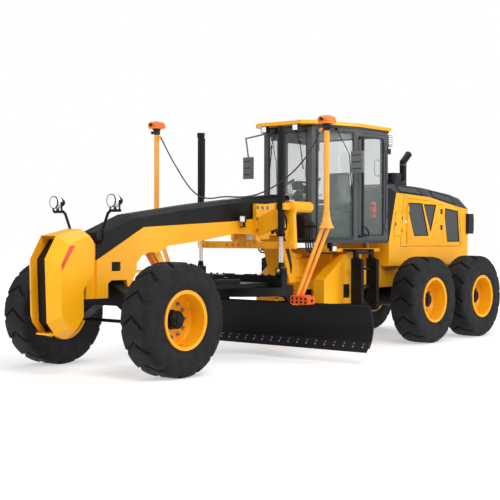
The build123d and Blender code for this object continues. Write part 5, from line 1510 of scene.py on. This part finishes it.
    def tail(self, name, side):
        inner, outer = (REAR + 0.060, 0.5565), (REAR + 0.130, 0.660)
        corners = [(*inner, 1.765), (*outer, 1.765), (*outer, 2.025), (*inner, 2.025)]
        middle = sum((Vector(corner) for corner in corners), Vector()) / 4
        corners = [Vector(corner).lerp(middle, 0.06) for corner in corners][::-1]
        if side < 0:
            corners = [Vector((x, -y, z)) for x, y, z in corners[::-1]]
        with piece(f"tail_lens_{name}", "rear_frame", red_lens, 0.002) as bm:
            plate(bm, corners, 0.006)
        with piece(f"tail_lens_rim_{name}", "rear_frame", moulded_plastic, 0.002) as bm:
            border(bm, corners, 0.008, 0.009)

    def stacks(self):
        """Open tip and clamp bands of the exhaust stack, and the ribs on the precleaner's dome."""
        foot = Vector((TANDEM + 0.154, 0.300, 2.900))
        tip = foot + Vector((-0.170, 0.0, 0.140))
        with piece("stack_tip", "rear_frame", cast_iron) as bm:
            lathe(bm, ((0.0, 0.002), (0.046, 0.002), (0.050, 0.008), (0.0570, 0.008), (0.0595, 0.002),
                       (0.0580, -0.012)), tip, tip - foot, 32)
            for z in (2.560, 2.840):
                lathe(bm, ((0.0565, 0.0), (0.0605, 0.002), (0.0605, 0.020), (0.0565, 0.022)),
                      (foot.x, foot.y, z), UP, 32)
        centre = centre_of("precleaner")
        centre.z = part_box("precleaner")[1].z
        radius = 0.128
        with piece("precleaner_ribs", "rear_frame", moulded_plastic) as bm:
            feet = ring_of(centre - UP * 0.012, radius * 0.94, 16, "z")
            for foot, top in zip(feet, ring_of(centre + UP * 0.001, 0.035, 16, "z")):
                cylinder(bm, foot, top, 0.005, sides=8)
            lathe(bm, ((0.0, 0.010), (0.022, 0.008), (0.034, 0.0)), centre, UP, 24)


class GRADER_OT_ladders(bpy.types.Operator):
    """Grip teeth on the ladders' treads and bolts on their stiles"""
    bl_idname = "grader.ladders"
    bl_label = "Ladders"

    treads = (0.640, 0.900, 1.160, 1.400)
    stiles = (-0.222, 0.177)
    tooth_pitch = 0.030

    def execute(self, context):
        for name, side in SIDES:
            with piece(f"ladder_grip_{name}", "rear_frame", black_enamel) as bm:
                first, last = (CAB_MID + x for x in self.stiles)
                for tread in self.treads:
                    for step in range(1, int((last - first) / self.tooth_pitch)):
                        x = first + step * self.tooth_pitch
                        box(bm, (x - 0.006, side * 0.802, tread + 0.028),
                            (x + 0.006, side * 0.858, tread + 0.038))
                for x in (first, last):
                    bolt_heads(bm, [(x, side * 0.949, z) for z in (0.66, 0.92, 1.18)], (0, side, 0), 0.022,
                               0.010)
        return {"FINISHED"}


class GRADER_OT_tandem_fittings(bpy.types.Operator):
    """Inspection covers, filler plugs and bolts on the tandem's chain cases"""
    bl_idname = "grader.tandem_fittings"
    bl_label = "Tandem fittings"

    face = 0.820
    cover = 0.120

    def execute(self, context):
        hub = centre_of("tyre_rear_left").z
        for name, side in SIDES:
            out = Vector((0, side, 0))
            with piece(f"chain_case_cover_{name}", "rear_frame", black_enamel) as bm:
                centre = Vector((TANDEM, side * self.face, hub))
                disc = ((0.0, 0.016), (0.040, 0.016), (0.046, 0.010), (self.cover - 0.006, 0.010),
                        (self.cover, 0.004), (self.cover, -0.002))
                lathe(bm, disc, centre, out, 40)
                bolt_heads(bm, ring_of(centre + out * 0.008, 0.1, 8, "y"), out, 0.020, 0.010)
                for x in (-0.30, 0.30):
                    bolt_heads(bm, [centre + Vector((x, 0, 0.085)), centre + Vector((x, 0, -0.095))], out,
                               0.034, 0.014)
        return {"FINISHED"}


class GRADER_OT_under_cab(bpy.types.Operator):
    """Hose bundle ahead of the windscreen, step lamp and, as painted shade, a black block in the side box's
    opening
    """
    bl_idname = "grader.under_cab"
    bl_label = "Under the cab"

    hoses = (0.370, 0.412, 0.455, 0.500, 0.545)

    def execute(self, context):
        for name, side in SIDES:
            for number, y in enumerate(self.hoses[::2] if side < 0 else self.hoses):
                top = 2.020 - 0.035 * number
                line = ((0.034, 0.300, top + 0.02), (0.036, y - 0.03, top), (0.038, y, top - 0.12),
                        (0.038, y, 1.640), (0.030, y, 1.500), (-0.020, y, 1.420), (-0.160, y + 0.01, 1.405),
                        (-0.420, y + 0.01, 1.410))
                points = [(CAB + x, side * out, z) for x, out, z in line]
                tube_curve(f"cab_hose_{name}_{number}", points, 0.0125, "rear_frame", hose_rubber)
            self.clips(name, side)
            self.step_lamp(name, side)
            self.painted_opening_shade(name, side)
        return {"FINISHED"}

    def clips(self, name, side):
        with piece(f"cab_hose_clips_{name}", "rear_frame", black_enamel, 0.004) as bm:
            for z in (1.590, 1.790):
                box(bm, (CAB + 0.006, side * 0.345, z), (CAB + 0.056, side * 0.570, z + 0.022))

    def step_lamp(self, name, side):
        centre = Vector((CAB - 0.258, side * 0.668, 1.480))
        square_lamp(f"step_lamp_{name}", "rear_frame", centre, (0, side, 0), 0.120, 0.082, 0.050)
        with piece(f"step_lamp_arm_{name}", "rear_frame", black_enamel, 0.003) as bm:
            box(bm, (centre.x - 0.030, side * 0.560, centre.z - 0.015),
                (centre.x + 0.030, side * 0.625, CAB_FLOOR + 0.004))

    def painted_opening_shade(self, name, side):
        """Black block that fills the side box's opening: painted shade of its inside."""
        with piece(f"side_box_painted_shade_{name}", "rear_frame", black_enamel, 0.006) as bm:
            box(bm, (CAB_MID + 0.070, side * 0.545, 0.747), (CAB_MID + 0.224, side * 0.637, 0.948))


class GRADER_OT_cab_inside(bpy.types.Operator):
    """Steering column and wheel, lever banks, display, vents, extinguisher and floor mat"""
    bl_idname = "grader.cab_inside"
    bl_label = "Cab inside"

    wheel_radius = 0.182
    grip = 0.0155

    def execute(self, context):
        floor = CAB_FLOOR + CAB_FLOOR_THICK
        self.column(floor)
        self.levers(floor)
        self.extinguisher(floor)
        self.lining(floor)
        return {"FINISHED"}

    def column(self, floor):
        x = CAB - 0.330
        bm = bmesh.new()
        outline = [(x + 0.150, floor), (x - 0.040, floor), (x - 0.130, floor + 0.600),
                   (x - 0.130, floor + 0.690), (x - 0.020, floor + 0.745), (x + 0.060, floor + 0.690),
                   (x + 0.030, floor + 0.560)]
        prism(bm, outline, -0.105, 0.210)
        case = mesh_piece("steering_console", bm, "rear_frame", moulded_plastic, 0.018)
        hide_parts("console")
        axis = Vector((-0.35, 0, 1)).normalized()
        hub = Vector((x - 0.100, 0, floor + 0.800))
        with piece("steering_wheel", "rear_frame", moulded_plastic) as bm:
            side = axis.orthogonal().normalized()
            other = axis.cross(side)
            rings = []
            for turn in turns(56):
                out = side * math.cos(turn) + other * math.sin(turn)
                rings.append([bm.verts.new(hub + out * (self.wheel_radius + self.grip * math.cos(around))
                                           + axis * self.grip * math.sin(around)) for around in turns(14)])
            skin(bm, rings + rings[:1])
            for turn in (math.pi / 2, math.pi * 7 / 6, math.pi * 11 / 6):
                out = side * math.cos(turn) + other * math.sin(turn)
                cylinder(bm, hub - axis * 0.018 + out * 0.03, hub + out * (self.wheel_radius - 0.004),
                         0.013, 0.009, 12)
            lathe(bm, ((0.0, 0.012), (0.030, 0.010), (0.046, 0.0), (0.048, -0.03), (0.030, -0.05),
                       (0.028, -0.14)), hub, axis, 32)
            lathe(bm, ((0.0, 0.048), (0.012, 0.048), (0.016, 0.042), (0.014, 0.02), (0.012, 0.0)),
                  hub + (side * 0.5 + other * 0.8660) * self.wheel_radius, axis, 16)
        with piece("display_case", "rear_frame", moulded_plastic, 0.010) as bm:
            centre = Vector((x + 0.075, 0.0, floor + 0.80))
            plate(bm, rectangle(centre, (-1, 0, 0.35), 0.190, 0.115), 0.030, -0.030)
            cylinder(bm, centre + Vector((0.010, 0, -0.05)), centre + Vector((-0.02, 0, -0.13)), 0.018,
                     sides=16)
        with piece("display_glass", "rear_frame", glass_screen, 0.001) as bm:
            plate(bm, rectangle(centre, (-1, 0, 0.35), 0.166, 0.092), 0.002)

    def levers(self, floor):
        """Banks of control levers each side of the wheel, on pale switch panels."""
        x = CAB - 0.300
        knobs = bmesh.new()
        stems = bmesh.new()
        panels = bmesh.new()
        for side in (-1, 1):
            y = side * 0.235
            low = Vector((x - 0.120, y - 0.100, floor + 0.640))
            box(panels, low, low + Vector((0.230, 0.200, 0.040)))
            box(stems, (x - 0.05, side * 0.100, floor + 0.600), (x + 0.05, y, floor + 0.645))
            for row in range(4):
                foot = Vector((x - 0.060 + 0.010 * row, y + (row - 1.5) * 0.044, floor + 0.678))
                top = foot + Vector((-0.040, side * 0.012, 0.150 + 0.014 * row))
                cylinder(stems, foot, top, 0.0055, sides=10)
                lathe(stems, ((0.0, 0.010), (0.012, 0.008), (0.018, 0.0)), foot, UP, 16)
                lathe(knobs, ((0.0, 0.050), (0.010, 0.048), (0.016, 0.036), (0.016, 0.014), (0.009, 0.0),
                              (0.0, -0.001)), top, top - foot, 16)
            for row in range(5):
                at = Vector((x + 0.040 + 0.022 * (row % 2), y - 0.07 + 0.035 * row, floor + 0.680))
                box(knobs, at, at + Vector((0.018, 0.024, 0.010)))
        mesh_piece("lever_knobs", knobs, "rear_frame", moulded_plastic, 0.002)
        mesh_piece("lever_stems", stems, "rear_frame", zinc_plate)
        mesh_piece("switch_panels", panels, "rear_frame", pale_moulding, 0.010)

    def extinguisher(self, floor):
        centre = Vector((CAB_REAR + 0.185, 0.600, floor + 0.330))
        with piece("extinguisher_bottle", "rear_frame", red_enamel) as bm:
            bottle = ((0.0, 0.0), (0.050, 0.002), (0.055, 0.010), (0.055, 0.210), (0.048, 0.232),
                      (0.028, 0.246), (0.018, 0.250), (0.018, 0.258), (0.0, 0.258))
            lathe(bm, bottle, centre, UP, 40)
        with piece("extinguisher_valve", "rear_frame", black_enamel) as bm:
            cylinder(bm, centre + Vector((0, 0, 0.255)), centre + Vector((0, 0, 0.285)), 0.014, sides=16)
            box(bm, centre + Vector((-0.030, -0.009, 0.280)), centre + Vector((0.060, 0.009, 0.292)))
            box(bm, centre + Vector((-0.020, -0.008, 0.298)), centre + Vector((0.062, 0.008, 0.306)))
            for z in (0.060, 0.180):
                lathe(bm, ((0.0555, z), (0.0580, z + 0.001), (0.0580, z + 0.017), (0.0555, z + 0.018)),
                      centre, UP, 40)
                box(bm, (CAB_REAR + 0.048, 0.590, centre.z + z),
                    (centre.x - 0.053, 0.610, centre.z + z + 0.018))

    def lining(self, floor):
        with piece("floor_mat", "rear_frame", hose_rubber, 0.003) as bm:
            prism(bm, inside_plan(), floor - 0.002, 0.010, "z")
        with piece("rear_lining", "rear_frame", grey_powder_coat, 0.014) as bm:
            # moulded lining of the rear wall up to its window, and the heater box behind the seat
            box(bm, (CAB_REAR + 0.052, -0.640, floor), (CAB_REAR + 0.075, 0.640, 2.140))
            box(bm, (CAB_REAR + 0.060, -0.480, floor), (CAB_REAR + 0.190, 0.460, 2.010))
        with piece("vents_and_pedals", "rear_frame", moulded_plastic, 0.003) as bm:
            for y in (-0.30, 0.0, 0.30):
                for row in range(4):
                    z = 1.80 + row * 0.032
                    box(bm, (CAB_REAR + 0.186, y - 0.07, z), (CAB_REAR + 0.196, y + 0.07, z + 0.016))
            for y in (-0.25, 0.25):
                # pedals
                foot = Vector((CAB - 0.16, y * 0.62, floor + 0.09))
                plate(bm, rectangle(foot, (-1, 0, 0.8), 0.070, 0.110), 0.010)
                cylinder(bm, foot, (CAB - 0.09, y * 0.62, floor), 0.010, sides=10)


class GRADER_OT_seat(bpy.types.Operator):
    """Suspension seat: padded cushion and back, bellows and armrests"""
    bl_idname = "grader.seat"
    bl_label = "Seat"

    cap = 0.020

    def execute(self, context):
        x = CAB - 1.050
        floor = CAB_FLOOR + CAB_FLOOR_THICK
        cushion = self.pad("seat_cushion", (x - 0.205, -0.215, floor + 0.318),
                           (x + 0.205, 0.215, floor + 0.424))
        back = self.pad("seat_back", (x - 0.284, -0.215, floor + 0.440), (x - 0.196, 0.215, floor + 1.062))
        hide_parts("seat")
        with piece("seat_bellows", "rear_frame", moulded_plastic, 0.008) as bm:
            for step in range(5):
                z = floor + 0.030 + step * 0.052
                outline = [(x - 0.14, -0.14), (x + 0.14, -0.14), (x + 0.14, 0.14), (x - 0.14, 0.14)]
                prism(bm, outline, z, 0.030, "z")
                inner = [(a + (0.018 if a < x else -0.018), b * 0.87) for a, b in outline]
                prism(bm, inner, z + 0.026, 0.030, "z")
            box(bm, (x - 0.19, -0.19, floor + 0.290), (x + 0.19, 0.19, floor + 0.322))
            box(bm, (x - 0.16, -0.16, floor), (x + 0.16, 0.16, floor + 0.032))
        with piece("seat_armrests", "rear_frame", moulded_plastic, 0.014) as bm:
            for side in (-1, 1):
                box(bm, (x - 0.200, side * 0.300 - 0.038, floor + 0.566),
                    (x + 0.118, side * 0.300 + 0.038, floor + 0.634))
                box(bm, (x - 0.250, side * 0.225, floor + 0.572), (x - 0.205, side * 0.325, floor + 0.628))
            box(bm, (x - 0.300, -0.18, floor + 0.420), (x - 0.284, 0.18, floor + 1.020))
        return {"FINISHED"}

    def pad(self, name, low, high):
        """Foam pad in woven cloth, swelled by its own pressure, with sewn channels pressed in after."""
        low, high = Vector(low), Vector(high)
        bm = bmesh.new()
        box(bm, low, high)
        bmesh.ops.recalc_face_normals(bm, faces=bm.faces)
        bmesh.ops.bevel(bm, geom=bm.edges[:], offset=0.022, segments=2, affect="EDGES", profile=0.5)
        made = object_from(name, mesh_from(name, bm), "rear_frame", seat_cloth)
        remesh = made.modifiers.new("voxels", "REMESH")
        remesh.mode = "VOXEL"
        remesh.voxel_size = 0.012
        self.apply(made)
        start = [vert.co.copy() for vert in made.data.vertices]
        self.swell(made, start)
        self.sew(made, low, high)
        made.modifiers.new("smooth cloth", "SUBSURF").levels = 1
        made.modifiers[-1].render_levels = 1
        self.apply(made)
        smooth_by_angle(made.data, 60)
        return made

    def apply(self, made):
        """Replaces the object's mesh by what its modifiers make of it."""
        found = made.evaluated_get(bpy.context.evaluated_depsgraph_get())
        mesh = bpy.data.meshes.new_from_object(found)
        old = made.data
        made.modifiers.clear()
        made.data = mesh
        bpy.data.meshes.remove(old)

    def swell(self, made, start):
        cloth = made.modifiers.new("foam pressure", "CLOTH")
        cloth.settings.use_pressure = True
        cloth.settings.uniform_pressure_force = 4.0
        cloth.settings.effector_weights.gravity = 0.0
        cloth.settings.quality = 4
        cloth.point_cache.frame_start = 1
        cloth.point_cache.frame_end = 20
        for number in range(1, 21):
            bpy.context.scene.frame_set(number)
        self.apply(made)
        bpy.context.scene.frame_set(1)
        for vert, before in zip(made.data.vertices, start):
            moved = vert.co - before
            if moved.length > self.cap:
                vert.co = before + moved.normalized() * self.cap

    def sew(self, made, low, high):
        """Two lengthwise channels pressed into the face that the driver sits against."""
        upright = high.z - low.z > high.x - low.x
        for vert in made.data.vertices:
            across = vert.co.y
            for seam in (-0.085, 0.085):
                depth = 0.010 * math.exp(-((across - seam) / 0.009) ** 2)
                if upright and vert.co.x > (low.x + high.x) / 2:
                    vert.co.x -= depth
                elif not upright and vert.co.z > (low.z + high.z) / 2:
                    vert.co.z -= depth


OPERATORS = (GRADER_OT_stage, GRADER_OT_mast_cable, GRADER_OT_frame_finishes, GRADER_OT_tyres,
             GRADER_OT_wheel_fittings, GRADER_OT_nose, GRADER_OT_front_lamps, GRADER_OT_beam_fittings,
             GRADER_OT_cylinders, GRADER_OT_circle_gear, GRADER_OT_blade_fittings, GRADER_OT_mast_fittings,
             GRADER_OT_cab_trim, GRADER_OT_door_trim, GRADER_OT_hood_trim, GRADER_OT_ladders,
             GRADER_OT_tandem_fittings, GRADER_OT_under_cab, GRADER_OT_cab_inside, GRADER_OT_seat)


class GRADER_PT_panel(bpy.types.Panel):
    """Lists the settings and the operators"""
    bl_idname = "GRADER_PT_panel"
    bl_label = "Motor grader"
    bl_space_type = "VIEW_3D"
    bl_region_type = "UI"
    bl_category = "Grader"

    def draw(self, context):
        for key in GraderSettings.__annotations__:
            self.layout.prop(context.scene.grader, key)
        for operator in OPERATORS:
            self.layout.operator(operator.bl_idname)


CLASSES = (GraderSettings, *OPERATORS, GRADER_PT_panel)


def register():
    for cls in CLASSES:
        bpy.utils.register_class(cls)
    bpy.types.Scene.grader = bpy.props.PointerProperty(type=GraderSettings)


def unregister():
    del bpy.types.Scene.grader
    for cls in reversed(CLASSES):
        bpy.utils.unregister_class(cls)


def main():
    register()
    for operator in OPERATORS:
        group, name = operator.bl_idname.split(".")
        getattr(getattr(bpy.ops, group), name)()


if __name__ == "__main__":
    main()
